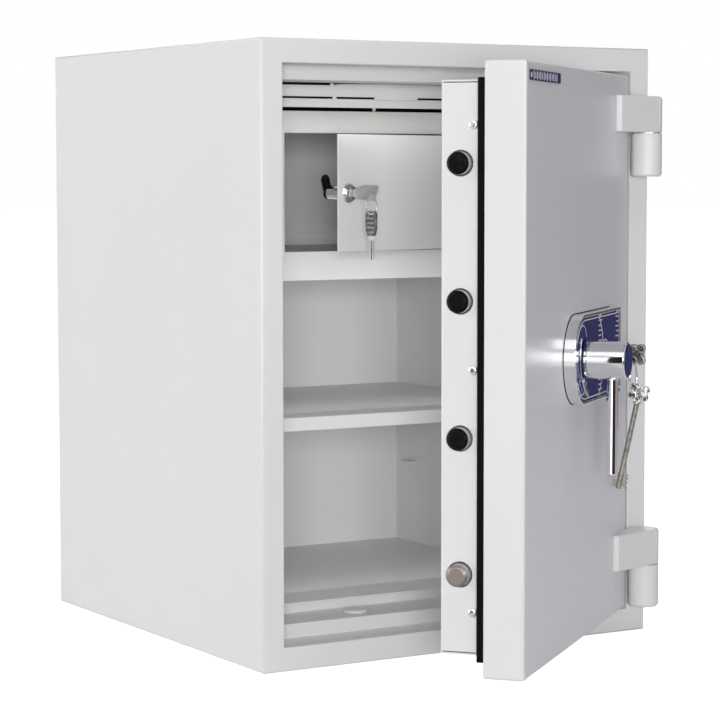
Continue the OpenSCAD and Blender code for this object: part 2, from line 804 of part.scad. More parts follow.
module fixed_dogs() {
    tip = cover_x + dog_proud;
    color(steel) on_door() for (z = dog_heights()) {
        rod_x([cover_x - guide_in - guide_t, cover_x - guide_in], at(bolt_depth), z, dog_stem_r);
        rod_x([cover_x - guide_in, tip - bolt_bevel], at(bolt_depth), z, dog_d / 2);
        translate([tip - bolt_bevel, at(bolt_depth), z]) rotate([0, 90, 0])
            cylinder(r1 = dog_d / 2, r2 = dog_d / 2 - bolt_bevel, h = bolt_bevel);
    }
}

// Where the carriage slides on its studs
stud_x = carriage_x + carriage_w + bolt_throw + 6;
function stud_heights() = [mid_z - stud_share * bolt_pitch, mid_z + stud_share * bolt_pitch];

module carriage_studs() {
    color(steel) on_door() for (z = stud_heights()) {
        rod_y(stud_x, [at(door_t + plate_t_in), at(bolt_depth + 4.5)], z, stud_r);
        rod_y(stud_x, [at(bolt_depth + 3.3), at(bolt_depth + 5.3)], z, stud_r + 3);
        rod_y(stud_x, [at(door_t + plate_t_in), at(bolt_depth - 3.3)], z, stud_r + 3);
    }
}

// Straight-sided rack teeth, spread so that the middle one meets the pinion at half travel
module rack_teeth(count) {
    pitch = PI * gear_module;
    half = pitch / 4 - backlash / 2;
    deep = 1.25 * gear_module;
    lean = tan(20);
    first = round(bolt_throw / 2 / pitch) - floor(count / 2);
    for (i = [0:count - 1]) translate([handle_x + (first + i) * pitch, rack_z])
        polygon([[-half - deep * lean, -deep - 0.2], [-half + gear_module * lean, gear_module],
                 [half - gear_module * lean, gear_module], [half + deep * lean, -deep - 0.2]]);
}

module bolt_carriage() {
    rack_root = rack_z - 1.25 * gear_module;
    y = [at(bolt_depth - carriage_d / 2), at(bolt_depth + carriage_d / 2)];
    arm_y = [at(bolt_depth - arm_t / 2), at(bolt_depth + arm_t / 2)];
    end_x = handle_x + bolt_throw + 16;
    tall = bolt_pitch * (bolt_count - 1) / 2 + bolt_d;
    notch = tongue_w / 2 + 0.6;
    color([0.80, 0.72, 0.45]) on_door() difference() {
        union() {
            bar([carriage_x, carriage_x + carriage_w], y, [mid_z - tall, mid_z + tall]);
            bar([carriage_x, end_x], arm_y, [rack_root - 14, rack_root]);
            translate([0, arm_y[1], 0]) rotate([90, 0, 0]) linear_extrude(arm_t) rack_teeth(11);
            bar([end_x - 24, end_x], arm_y, [lock_arm_low, rack_root - 10]);
            bar([end_x - 24, key_x + bolt_throw + 20], arm_y, [lock_arm_low, lock_arm_top]);
            for (z = stud_heights())
                bar([carriage_x, stud_x + bolt_throw + 10], arm_y, [z - 10, z + 10]);
        }
        for (z = stud_heights()) {
            rod_y(stud_x, [y[0], y[1]], z, stud_r + run * 2);
            rod_y(stud_x + bolt_throw, [y[0], y[1]], z, stud_r + run * 2);
            bar([stud_x, stud_x + bolt_throw], y, [z - stud_r - run * 2, z + stud_r + run * 2]);
        }
        for (x = [key_x, key_x + bolt_throw])
            bar([x - notch, x + notch], y, [case_z[0] - 2 - lock_throw - 2, lock_arm_top + eps]);
    }
}

module locking_bolts() {
    tip = -cover_x - bolt_proud;
    color(steel) on_door() for (z = bolt_heights()) {
        rod_x([tip + bolt_bevel, tip + bolt_shank], at(bolt_depth), z, bolt_d / 2);
        translate([tip, at(bolt_depth), z]) rotate([0, 90, 0])
            cylinder(r1 = bolt_d / 2 - bolt_bevel, r2 = bolt_d / 2, h = bolt_bevel);
    }
}

// Involute flank: radius and angle from the middle of a tooth for a roll angle in radians
function flank(t, side) =
    let (r = base_r * sqrt(1 + t * t),
         a = 90 / pinion_teeth - backlash / 2 / pitch_r * 180 / PI
             + (tan(20) * 180 / PI - 20) - (t * 180 / PI - atan(t)))
    [r, side * a];

// Round pinion with involute teeth and a tooth space straight down at rest
module pinion_outline() {
    top = sqrt(pow(tip_r / base_r, 2) - 1);
    steps = 4;
    base_a = flank(0, 1)[1];
    tooth = concat([[root_r, -base_a - 0.4]], [for (i = [0:steps]) flank(top * i / steps, -1)],
                   [for (i = [steps:-1:0]) flank(top * i / steps, 1)], [[root_r, base_a + 0.4]]);
    start = -90 + 180 / pinion_teeth;
    polygon([for (k = [0:pinion_teeth - 1], p = tooth)
             p[0] * [cos(p[1] + start + k * 360 / pinion_teeth),
                     sin(p[1] + start + k * 360 / pinion_teeth)]]);
}

module pinion() {
    color([0.80, 0.72, 0.45]) on_door() difference() {
        union() {
            translate([handle_x, at(bolt_depth) + pinion_w / 2, hub_z]) rotate([90, 0, 0])
                linear_extrude(pinion_w) pinion_outline();
            rod_y(handle_x, [at(bolt_depth) + pinion_w / 2, at(bolt_depth) + pinion_w / 2 + 4],
                  hub_z, root_r - 1);
        }
        rod_y(handle_x, [at(bolt_depth) - pinion_w, at(bolt_depth) + pinion_w], hub_z,
              spindle_d / 2);
    }
}

module handle_spindle() {
    color(steel) on_door()
        rod_y(handle_x, [at(-plate_t - fit), at(bolt_depth) + pinion_w / 2 + 6], hub_z,
              spindle_d / 2);
}

module spindle_bushing() {
    color([0.80, 0.72, 0.45]) on_door() difference() {
        rod_y(handle_x, [at(-plate_t + 0.3), at(door_t + plate_t_in + 4)], hub_z,
              spindle_d / 2 + 3);
        rod_y(handle_x, [at(-plate_t - eps), at(door_t + 20)], hub_z, spindle_d / 2 + run);
    }
}

module lock_case() {
    color(steel) on_door() difference() {
        bar(case_x, [at(case_depth[0]), at(case_depth[1])], case_z);
        bar([case_x[0] + case_wall, case_x[1] - case_wall],
            [at(case_depth[0] + case_wall), at(case_depth[1] - case_wall)],
            [case_z[0] + case_wall, case_z[1] - case_wall]);
        rod_y(key_x, [at(case_depth[0] - eps), at(case_depth[0] + case_wall + eps)], key_z,
              bit_span / 2 + 0.2);
        bar([key_x - tongue_w / 2 - fit, key_x + tongue_w / 2 + fit],
            [at(bolt_depth - lock_bolt_t / 2 - fit), at(bolt_depth + lock_bolt_t / 2 + fit)],
            [case_z[0] - eps, case_z[0] + case_wall + eps]);
    }
}

// Sliding bolt whose tongue drops into a notch of the carriage
module lock_bolt() {
    y = [at(bolt_depth - lock_bolt_t / 2), at(bolt_depth + lock_bolt_t / 2)];
    low = case_z[0] - 2;
    color([0.80, 0.72, 0.45]) on_door() difference() {
        union() {
            bar([key_x - tongue_w / 2, key_x + tongue_w / 2], y, [low, case_z[1] - 14]);
            bar([key_x - 19, key_x + 19], y,
                [case_z[0] + case_wall + lock_throw + 1, case_z[1] - case_wall - 1]);
        }
        bar([key_x - 3, key_x + 3], y, [case_z[1] - 12, case_z[1] - 6]);
    }
}

module key_tube() {
    color(steel) on_door() difference() {
        rod_y(key_x, [at(-plate_t + 4), at(door_t + plate_t_in)], key_z, bit_span / 2 + 2.2);
        rod_y(key_x, [at(-plate_t), at(door_t + 10)], key_z, bit_span / 2 + 0.2);
    }
}

// Outline of the handle plate: round about the handle axis, square beyond the keyhole
module plate_outline(inset) {
    r = plate_r - inset;
    end = handle_x + plate_reach - inset;
    corner = 4 - inset / 2;
    translate([handle_x, hub_z]) circle(r);
    rounded_sheet([handle_x, end], [hub_z - r, hub_z + r], corner);
    translate([handle_x, hub_z - r]) square([r, 2 * r]);
}

module handle_plate_rim() {
    color([0.85, 0.86, 0.88]) on_door() difference() {
        union() {
            raised([0, plate_t - 1.2]) plate_outline(0);
            raised([plate_t - 1.2, plate_t]) plate_outline(0.8);
        }
        raised([plate_t - 2.6, plate_t + eps]) plate_outline(rim_w);
        slab_drill([-plate_t - eps, eps]);
    }
}

module handle_plate_face() {
    color(navy) on_door() difference() {
        raised([plate_t - 2.6, plate_t - 0.6]) plate_outline(rim_w + run);
        rod_y(handle_x, [at(-plate_t - eps), at(0)], hub_z, spindle_d / 2 + 3 + run);
        rod_y(key_x, [at(-plate_t - eps), at(0)], key_z, shank_d / 2 + 0.4);
        bar([key_x - 1.7, key_x + 1.7], [at(-plate_t - eps), at(0)],
            [key_z - bit_span / 2 - 0.4, key_z + bit_span / 2 + 0.4]);
    }
}

module badge_plate() {
    color(navy) on_door() raised([0, 1.2])
        rounded_sheet([-slab_x + badge_side, -slab_x + badge_side + badge_w],
                      [slab_hi - badge_top - badge_h, slab_hi - badge_top], 1.5);
}

module handle_hub() {
    length = hub_off - plate_t - fit;
    r = hub_d / 2;
    color([0.85, 0.86, 0.88]) on_door() difference() {
        facing_out(handle_x, hub_z, plate_t + fit) rotate_extrude()
            polygon([[spindle_d / 2, 0], [r, 0], [r, 2], [r - 0.8, 2.6], [r - 0.8, 3.6],
                     [r, 4.2], [r, length - 1.2], [r - 1.2, length], [cap_r, length],
                     [cap_r, length - 4], [spindle_d / 2, length - 4]]);
        rod_z(handle_x, at(-lever_off), [hub_z - r - eps, hub_z], lever_d / 2);
    }
}

module handle_cap() {
    color(navy) on_door() facing_out(handle_x, hub_z, hub_off - 4) rotate_extrude()
        polygon([[0, 0], [cap_r, 0], [cap_r, 4], [cap_r - 0.6, 4.5], [0, 4.9]]);
}

module handle_lever() {
    r = lever_d / 2;
    tip = hub_z - lever_len;
    color([0.85, 0.86, 0.88]) on_door() difference() {
        union() {
            rod_z(handle_x, at(-lever_off), [tip + lever_tip, hub_z], r);
            translate([handle_x, at(-lever_off), tip]) cylinder(r1 = r - lever_tip, r2 = r, h = lever_tip);
        }
        facing_out(handle_x, hub_z, plate_t) cylinder(r = spindle_d / 2, h = hub_off);
    }
}

// Four-lobed bow of a main key in the plane of its own thickness
module bow_outline() {
    difference() {
        union() {
            for (x = [-bow_lobe[0], bow_lobe[0]], y = [-bow_lobe[1], bow_lobe[1]])
                translate([x, y]) circle(bow_lobe_r);
            square(2 * bow_lobe, center = true);
            translate([-bow_end, -3.2]) square([bow_end, 6.4]);
        }
        for (x = [-bow_lobe[0], bow_lobe[0]], y = [-bow_lobe[1], bow_lobe[1]])
            translate([x, y]) circle(bow_hole_r);
    }
}

// Double-bitted key along +X: bow at the origin, shank towards -X
module double_bit_key(shank, bit) {
    tip = -bow_end - shank;
    translate([0, 0, -key_t / 2]) linear_extrude(key_t) bow_outline();
    translate([-bow_end, 0, 0]) rotate([0, -90, 0]) cylinder(r = shank_d / 2, h = shank);
    translate([-bow_end, 0, 0]) rotate([0, -90, 0]) cylinder(r = shank_d / 2 + 1.2, h = 2.5);
    difference() {
        translate([tip + 1.5, -bit_span / 2, -1.1]) cube([bit, bit_span, 2.2]);
        for (side = [-1, 1], i = [0:2])
            translate([tip + 3.2 + i * 5.2, side * (bit_span / 2 - 0.4 - 0.9 * (i % 2)) - 1.4, -2])
                cube([2.2, 2.8, 4]);
    }
}

module main_key() {
    color(steel) on_door() translate([key_x, at(-bow_off), key_z]) rotate([90, 0, -90])
        rotate([0, 180, 0]) rotate([0, 0, 180])
            double_bit_key(bow_off - bow_end + bit_depth[1], bit_depth[1] - bit_depth[0]);
}

module torus_at(r, wire) {
    rotate([90, 0, 0]) rotate_extrude() translate([r, 0]) circle(wire);
}

module key_ring() {
    color(steel) on_door()
        translate([key_x, at(-ring_off), ring_top_z - ring_r]) torus_at(ring_r, wire_r);
}

// The second key hangs by its lobe that is nearest to the door
module hanging_key() {
    color([0.70, 0.69, 0.66]) on_door()
        translate([key_x, at(-ring_off), ring_low_z]) rotate([spare_lean, 0, 0])
            translate([0, 0, -bow_hole_r + wire_r + fit]) rotate([0, 90, 0]) rotate([0, 0, 180])
                translate(bow_lobe) double_bit_key(key_length, 15);
}

// Sheet door of the upper compartment, folded on all sides but the free one
module locker_door() {
    x = [small_left, small_right];
    y = [locker_y, locker_y + small_fold];
    fold_x = x[0] + small_lock_x + small_flange_d;
    color(painted) on_small_door() difference() {
        bar(x, y, [small_lo, small_hi]);
        bar([fold_x, x[1] - sheet_t], [y[0] + sheet_t, y[1] + eps],
            [small_lo + sheet_t, small_hi - sheet_t]);
        bar([x[0] - eps, fold_x + eps], [y[0] + sheet_t, y[1] + eps], [small_lo - eps, small_hi + eps]);
        rod_z(small_pin_x, small_pin_y, [small_lo - eps, small_hi + eps], small_pin_d / 2 + run);
        rod_y(small_key_x, [y[0] - eps, y[0] + sheet_t + eps], small_key_z, small_barrel_r);
    }
}

module locker_lock_body() {
    r = small_barrel_r;
    depth = [locker_y - 4.2, small_barrel_y];
    color(steel) on_small_door() difference() {
        union() {
            rod_y(small_key_x, [locker_y - 2.6, locker_y], small_key_z, small_flange_d / 2);
            rod_y(small_key_x, depth, small_key_z, r);
            rod_y(small_key_x, [locker_y + sheet_t, locker_y + sheet_t + 4], small_key_z, r + 3.5);
        }
        rod_y(small_key_x, [depth[0] - eps, depth[1] + eps], small_key_z, small_plug_d / 2 + run);
    }
}

module locker_lock_plug() {
    y = [locker_y - 7, cam_y[0]];
    color(steel) on_small_door() difference() {
        union() {
            rod_y(small_key_x, [y[0] + 1, y[1]], small_key_z, small_plug_d / 2);
            rod_y(small_key_x, [y[0], locker_y - 4.5], small_key_z, small_plug_d / 2 + 2);
        }
        bar([small_key_x - 1.1, small_key_x + 1.1], [y[0] - eps, y[1] - 6],
            [small_key_z - 4, small_key_z + 4]);
    }
}

module locker_lock_cam() {
    color(dark) on_small_door() translate([small_key_x, 0, small_key_z]) rotate([0, -cam_lean, 0]) {
        rod_y(0, cam_y, 0, 7);
        bar([-6, 6], cam_y, [0, cam_reach]);
        rod_y(0, cam_y, cam_reach, 6);
        rod_y(0, [cam_y[1], cam_y[1] + 2], 0, 3.5);
    }
}

// Outline of the small key's head: stand-off and height over the lock axis
function small_head() = [[10, -5.4], [35.5, -8.3], [37.2, -7.4], [42.6, 6.6], [41.6, 8.6],
                         [24, 8.9], [10, 5.2]];

module locker_key() {
    blade_y = [locker_y - 11, locker_y + 15];
    color(steel) on_small_door() difference() {
        union() {
            bar([small_key_x - 1, small_key_x + 1], blade_y, [small_key_z - 3.9, small_key_z + 3.9]);
            translate([small_key_x - 1, locker_y, small_key_z]) rotate([90, 0, 90]) linear_extrude(2)
                polygon([for (p = small_head()) [-p[0], p[1]]]);
        }
        rod_x([small_key_x - 3, small_key_x + 3], locker_y - small_bow_off,
              small_key_z - small_hole_drop, small_hole_r);
    }
}

module locker_key_ring() {
    color(steel) on_small_door()
        translate([small_key_x, locker_y - small_bow_off, small_ring_z - small_ring_r])
            torus_at(small_ring_r, small_wire_r);
}

module locker_hanging_key() {
    y = locker_y - small_bow_off;
    hole_z = small_ring_z - 2 * small_ring_r - small_hole_r + small_wire_r + fit;
    top = hole_z + 5.5;
    color(dark) on_small_door() difference() {
        union() {
            translate([small_key_x - 1.6, y, top]) rotate([90, 0, 90]) linear_extrude(3.2)
                polygon([[-4.6, -27], [4.6, -27], [7, -20], [7.2, -3], [5, 0], [-5, 0], [-7.2, -3],
                         [-7, -20]]);
            bar([small_key_x - 1, small_key_x + 1], [y - 4.2, y + 4.2], [top - 32, top - 27]);
            bar([small_key_x - 0.9, small_key_x + 0.9], [y - 2.4, y + 2.4], [top - 53, top - 32]);
        }
        rod_x([small_key_x - 3, small_key_x + 3], y, hole_z, small_hole_r);
    }
}

outer_shell();
door_frame();
throat_collar();
inner_liner();
insulation_fill();
bolt_keeper();
dog_keeper();
tack_welds();
anchor_sleeves();
anchor_caps();
shelf();
shelf_tabs();
locker_front();
locker_floor();
locker_pins();
hinge_barrels();
hinge_pins();
hinge_washers();
hinge_straps();
door_skin();
door_fill();
door_back_plate();
mechanism_plate();
fire_seal();
heat_strip();
inner_cover();
cover_end_plates();
cover_screws();
bolt_guide_bar();
dog_bar();
fixed_dogs();
carriage_studs();
lock_case();
key_tube();
spindle_bushing();
handle_plate_rim();
handle_plate_face();
badge_plate();
handle_hub();
handle_lever();
handle_cap();
handle_spindle();
pinion();
bolt_carriage();
locking_bolts();
lock_bolt();
main_key();
key_ring();
hanging_key();
locker_door();
locker_lock_body();
locker_lock_plug();
locker_lock_cam();
locker_key();
locker_key_ring();
locker_hanging_key();
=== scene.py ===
"""Looks of a fire-resistant key-lock safe that stands with its door ajar.

Lengths are metres, +Z is up, the front faces -Y and +X is to the right of someone who faces it.
Pieces of the two doors are shaped as if shut, and then swung open about their hinge axes.
"""

import json
import logging
import math
from collections.abc import Callable, Iterable, Sequence
from dataclasses import dataclass, field
from enum import Enum
from typing import Any

import bmesh
import bpy
from mathutils import Matrix, Vector


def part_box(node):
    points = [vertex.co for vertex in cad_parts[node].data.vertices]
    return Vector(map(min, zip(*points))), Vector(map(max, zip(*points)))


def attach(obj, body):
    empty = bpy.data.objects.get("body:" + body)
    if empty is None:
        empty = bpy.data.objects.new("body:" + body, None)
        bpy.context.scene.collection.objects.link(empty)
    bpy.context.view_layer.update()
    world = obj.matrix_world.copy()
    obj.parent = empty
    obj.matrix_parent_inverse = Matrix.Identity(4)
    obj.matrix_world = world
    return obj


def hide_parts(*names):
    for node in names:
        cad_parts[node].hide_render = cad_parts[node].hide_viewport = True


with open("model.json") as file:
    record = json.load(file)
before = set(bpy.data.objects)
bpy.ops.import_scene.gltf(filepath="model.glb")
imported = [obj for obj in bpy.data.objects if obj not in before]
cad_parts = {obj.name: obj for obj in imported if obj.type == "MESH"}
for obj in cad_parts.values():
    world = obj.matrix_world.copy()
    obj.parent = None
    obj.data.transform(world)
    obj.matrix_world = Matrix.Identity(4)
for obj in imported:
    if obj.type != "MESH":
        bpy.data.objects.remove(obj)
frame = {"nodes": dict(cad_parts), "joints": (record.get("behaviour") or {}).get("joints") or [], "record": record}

LOG = logging.getLogger("safe")
MM = 0.001
MERGE = 0.002 * MM
NEAR = 0.1 * MM
Point = tuple[float, float]
Place = tuple[float, float, float]
Outline = list[Point]
Box = tuple[Vector, Vector]
Colour = tuple[float, float, float]


def srgb(red: int, green: int, blue: int) -> Colour:
    """Turns a screen colour of 0 to 255 into the linear colour that shaders take.

    Args:
        red: Red value of the screen colour.
        green: Green value of the screen colour.
        blue: Blue value of the screen colour.

    Returns:
        The linear colour.
    """
    return tuple(((v / 255 + 0.055) / 1.055) ** 2.4 if v > 10 else v / 3294.6 for v in (red, green, blue))


def shade(colour: Colour, factor: float) -> tuple[float, float, float, float]:
    """Makes a colour lighter or darker and adds the alpha that sockets take."""
    return (*(min(1.0, channel * factor) for channel in colour), 1.0)


class Wire:
    """One output socket of a shader graph, on which Python arithmetic adds Math nodes."""

    def __init__(self, graph: "Graph", socket: bpy.types.NodeSocket) -> None:
        """Keeps the graph and the socket."""
        self.graph = graph
        self.socket = socket

    def _math(self, operation: str, first: Any, second: Any) -> "Wire":
        """Adds one Math node.

        Args:
            operation: Name of the operation.
            first: Number or wire of the first socket.
            second: Number or wire of the second socket.

        Returns:
            The wire of its result.
        """
        node = self.graph.add("ShaderNodeMath", {"operation": operation}, {0: first, 1: second})
        return self.graph.out(node)

    def __add__(self, other: Any) -> "Wire":
        """Sum."""
        return self._math("ADD", self, other)

    def __radd__(self, other: Any) -> "Wire":
        """Sum with the wire on the right."""
        return self._math("ADD", other, self)

    def __mul__(self, other: Any) -> "Wire":
        """Product."""
        return self._math("MULTIPLY", self, other)

    def __rmul__(self, other: Any) -> "Wire":
        """Product with the wire on the right."""
        return self._math("MULTIPLY", other, self)

    def __gt__(self, other: Any) -> "Wire":
        """1 where the wire is larger, else 0."""
        return self._math("GREATER_THAN", self, other)

    def __lt__(self, other: Any) -> "Wire":
        """1 where the wire is smaller, else 0."""
        return self._math("LESS_THAN", self, other)

    def either(self, other: Any) -> "Wire":
        """The larger of two values."""
        return self._math("MAXIMUM", self, other)


class Graph:
    """The node tree of one material or of the world."""

    def __init__(self, tree: bpy.types.NodeTree) -> None:
        """Empties the tree and keeps it."""
        self.tree = tree
        tree.nodes.clear()

    def add(self, kind: str, settings: dict[str, Any] | None = None,
            sockets: dict[int | str, Any] | None = None) -> bpy.types.Node:
        """Makes one node.

        Args:
            kind: Type of the node.
            settings: Values of its properties, set first; "stops" holds a ramp's places and colours.
            sockets: Values or wires of its input sockets.

        Returns:
            The node.
        """
        node = self.tree.nodes.new(kind)
        for name, value in (settings or {}).items():
            if name == "stops":
                elements = node.color_ramp.elements
                for index, (place, colour) in enumerate(value):
                    stop = elements[index] if index < len(elements) else elements.new(place)
                    stop.position = place
                    stop.color = colour
            else:
                setattr(node, name, value)
        for key, value in (sockets or {}).items():
            if isinstance(value, Wire):
                self.tree.links.new(value.socket, node.inputs[key])
            else:
                node.inputs[key].default_value = value
        return node

    def out(self, node: bpy.types.Node, key: int | str = 0) -> Wire:
        """The wire of a node's output socket."""
        return Wire(self, node.outputs[key])

    def place(self, stretch: Place = (1.0, 1.0, 1.0)) -> Wire:
        """Object coordinates, stretched along the axes.

        Args:
            stretch: Factor along each axis; a large one gives fine detail.

        Returns:
            The wire of the pattern's coordinates.
        """
        sockets = {"Vector": self.out(self.add("ShaderNodeTexCoord"), "Object"),
                   "Scale": tuple(1 / factor for factor in stretch)}
        return self.out(self.add("ShaderNodeMapping", {"vector_type": "TEXTURE"}, sockets))

    def noise(self, scale: float, detail: float = 2.0, where: Wire | None = None) -> Wire:
        """Noise from 0 to 1.

        Args:
            scale: Cells per metre.
            detail: Finer layers in the noise.
            where: Coordinates, which are the object's own where none are given.

        Returns:
            The wire of the noise.
        """
        sockets = {"Vector": where or self.place(), "Scale": scale, "Detail": detail, "Roughness": 0.55}
        return self.out(self.add("ShaderNodeTexNoise", {}, sockets))

    def spots(self, scale: float) -> Wire:
        """Distance to the nearest of scattered points, from 0 to about 1."""
        return self.out(self.add("ShaderNodeTexVoronoi", {}, {"Vector": self.place(), "Scale": scale}))

    def blend(self, factor: Any, first: Any, second: Any) -> Wire:
        """Mixes two colours by a factor."""
        node = self.add("ShaderNodeMix", {"data_type": "RGBA"}, {0: factor, 6: first, 7: second})
        return self.out(node, 2)

    def bump(self, height: Wire, depth: float) -> Wire:
        """A normal raised by a height from 0 to 1, where 1 stands for a depth in metres."""
        sockets = {"Height": height, "Distance": depth, "Strength": 1.0}
        return self.out(self.add("ShaderNodeBump", {}, sockets))


def new_material(name: str, surface: Callable[[Graph], Wire]) -> bpy.types.Material:
    """Makes a material.

    Args:
        name: Its name.
        surface: Function that adds its nodes to a graph and gives the wire of its surface.

    Returns:
        The material.
    """
    material = bpy.data.materials.new(name)
    material.use_nodes = True
    graph = Graph(material.node_tree)
    graph.add("ShaderNodeOutputMaterial", {}, {"Surface": surface(graph)})
    return material


def new_object(name: str, data: bpy.types.ID, place: Matrix | None = None) -> bpy.types.Object:
    """Adds an object to the scene.

    Args:
        name: Its name.
        data: Its mesh, lamp or camera.
        place: Its place, which is the origin where none is given.

    Returns:
        The object.
    """
    thing = bpy.data.objects.new(name, data)
    if place:
        thing.matrix_world = place
    bpy.context.scene.collection.objects.link(thing)
    return thing


@dataclass(frozen=True)
class Finish:
    """A surface finish, which makes its own material once.

    Attributes:
        name: Name of the material.
        slot: Material slot of the part's record; not used.
        colour: Main colour.
        roughness: Main roughness.
    """

    name: str
    slot: str
    colour: Colour
    roughness: float

    def surface(self, graph: Graph) -> dict[str, Any]:
        """Values and wires of the shader's sockets."""
        raise NotImplementedError

    def material(self) -> bpy.types.Material:
        """The finish's material, made at its first use."""
        return bpy.data.materials.get(self.name) or new_material(self.name, self.shader)

    def shader(self, graph: Graph) -> Wire:
        """The shader of the surface, as new_material takes it."""
        return graph.out(graph.add("ShaderNodeBsdfPrincipled", {}, self.surface(graph)))


@dataclass(frozen=True)
class PowderCoat(Finish):
    """Stoved paint with a fine orange-peel surface.

    Attributes:
        peel: Height of the orange peel.
        cell: Width of one dimple of the orange peel.
    """

    peel: float = 0.03 * MM
    cell: float = 1.4 * MM

    def surface(self, graph: Graph) -> dict[str, Any]:
        """Cloudy tone, fine speckle and dimples.

        Args:
            graph: Graph that takes the nodes.

        Returns:
            Values and wires of the shader's sockets.
        """
        cloud = graph.noise(9.0)
        speckle = graph.noise(1 / (0.5 * MM), 1.0)
        dimples = graph.noise(1 / self.cell, 1.5)
        tone = graph.blend(cloud * 0.7 + speckle * 0.3, shade(self.colour, 0.965), shade(self.colour, 1.03))
        return {"Base Color": tone, "Roughness": self.roughness - 0.06 + dimples * 0.12,
                "IOR": 1.45, "Normal": graph.bump(dimples, self.peel)}


@dataclass(frozen=True)
class Polished(Finish):
    """Chromed or polished metal with faint handling haze.

    Attributes:
        haze: How much the roughness rises in the haze.
    """

    haze: float = 0.05

    def surface(self, graph: Graph) -> dict[str, Any]:
        """Mirror-like metal whose haze and tone vary.

        Args:
            graph: Graph that takes the nodes.

        Returns:
            Values and wires of the shader's sockets.
        """
        cloud = graph.noise(38.0, 3.0)
        grain = graph.noise(1 / (0.35 * MM), 1.0)
        tone = graph.blend(cloud, shade(self.colour, 0.95), shade(self.colour, 1.03))
        return {"Base Color": tone, "Metallic": 1.0, "Roughness": self.roughness + cloud * self.haze,
                "Normal": graph.bump(grain, 0.0006 * MM)}


@dataclass(frozen=True)
class Turned(Finish):
    """Machined steel with fine tool marks across one direction.

    Attributes:
        stretch: Fineness of the marks along the axes.
        metal: Share of bare metal.
    """

    stretch: Place = (900.0, 14.0, 14.0)
    metal: float = 1.0

    def surface(self, graph: Graph) -> dict[str, Any]:
        """Metal with drawn-out grain.

        Args:
            graph: Graph that takes the nodes.

        Returns:
            Values and wires of the shader's sockets.
        """
        marks = graph.noise(1.0, 3.0, graph.place(self.stretch))
        cloud = graph.noise(55.0)
        tone = graph.blend(marks * 0.6 + cloud * 0.4, shade(self.colour, 0.86), shade(self.colour, 1.1))
        return {"Base Color": tone, "Metallic": self.metal, "Roughness": self.roughness + marks * 0.16,
                "Normal": graph.bump(marks, 0.006 * MM)}


@dataclass(frozen=True)
class CastMetal(Finish):
    """Die-cast metal with a pitted skin that is rubbed bright in places.

    Attributes:
        rubbed: Colour of the rubbed places.
    """

    rubbed: Colour = (0.7, 0.68, 0.64)

    def surface(self, graph: Graph) -> dict[str, Any]:
        """Pitted metal with bright and dull patches.

        Args:
            graph: Graph that takes the nodes.

        Returns:
            Values and wires of the shader's sockets.
        """
        pits = graph.noise(1 / (0.8 * MM), 3.0)
        patch = graph.noise(160.0, 3.0)
        tone = graph.blend(patch * patch * 1.8, shade(self.colour, 0.9), shade(self.rubbed, 1.0))
        return {"Base Color": tone, "Metallic": 1.0, "Roughness": self.roughness + pits * 0.2,
                "Normal": graph.bump(pits, 0.05 * MM)}


@dataclass(frozen=True)
class Chased(Finish):
    """Bright metal with a small chased pattern whose grooves have darkened.

    Attributes:
        cell: Width of one field of the pattern.
    """

    cell: float = 2.1 * MM

    def surface(self, graph: Graph) -> dict[str, Any]:
        """Bright fields between dark grooves.

        Args:
            graph: Graph that takes the nodes.

        Returns:
            Values and wires of the shader's sockets.
        """
        distance = graph.spots(1 / self.cell)
        worn = graph.noise(420.0, 2.0)
        tone = graph.blend((distance > 0.42 + worn * 0.2) * 0.86, shade(self.colour, 1.0),
                           shade(self.colour, 0.16))
        return {"Base Color": tone, "Metallic": 1.0, "Roughness": self.roughness + worn * 0.2,
                "Normal": graph.bump(distance, -0.25 * MM)}


@dataclass(frozen=True)
class Plated(Finish):
    """Yellow passivated zinc, which plays between gold, pink and green."""

    def surface(self, graph: Graph) -> dict[str, Any]:
        """Metal whose hue drifts.

        Args:
            graph: Graph that takes the nodes.

        Returns:
            Values and wires of the shader's sockets.
        """
        drift = graph.noise(70.0, 3.0)
        stops = [(0.25, shade(srgb(196, 178, 96), 1)), (0.5, shade(self.colour, 1)),
                 (0.72, shade(srgb(214, 176, 140), 1))]
        ramp = graph.add("ShaderNodeValToRGB", {"stops": stops}, {0: drift})
        return {"Base Color": graph.out(ramp), "Metallic": 1.0, "Roughness": self.roughness + drift * 0.15,
                "Normal": graph.bump(graph.noise(2400.0), 0.01 * MM)}


@dataclass(frozen=True)
class Enamel(Finish):
    """Smooth gloss enamel or print."""

    def surface(self, graph: Graph) -> dict[str, Any]:
        """Deep colour with a faint flow of tone.

        Args:
            graph: Graph that takes the nodes.

        Returns:
            Values and wires of the shader's sockets.
        """
        flow = graph.noise(120.0)
        tone = graph.blend(flow, shade(self.colour, 0.86), shade(self.colour, 1.16))
        return {"Base Color": tone, "Roughness": self.roughness + flow * 0.03, "IOR": 1.48,
                "Normal": graph.bump(graph.noise(800.0), 0.001 * MM)}


@dataclass(frozen=True)
class Fibrous(Finish):
    """Matt felted or cast material.

    Attributes:
        fleck: Colour of its flecks.
        grain: Width of one grain.
        relief: Height of its grain.
    """

    fleck: Colour = (0.06, 0.06, 0.065)
    grain: float = 0.8 * MM
    relief: float = 0.2 * MM

    def surface(self, graph: Graph) -> dict[str, Any]:
        """Flecked matt surface.

        Args:
            graph: Graph that takes the nodes.

        Returns:
            Values and wires of the shader's sockets.
        """
        grain = graph.noise(1 / self.grain, 4.0)
        fleck = graph.spots(0.5 / self.grain)
        tone = graph.blend((fleck < 0.22) * 0.8, shade(self.colour, 1.0), shade(self.fleck, 1.0))
        return {"Base Color": tone, "Roughness": self.roughness + grain * 0.1, "IOR": 1.15,
                "Normal": graph.bump(grain, self.relief)}


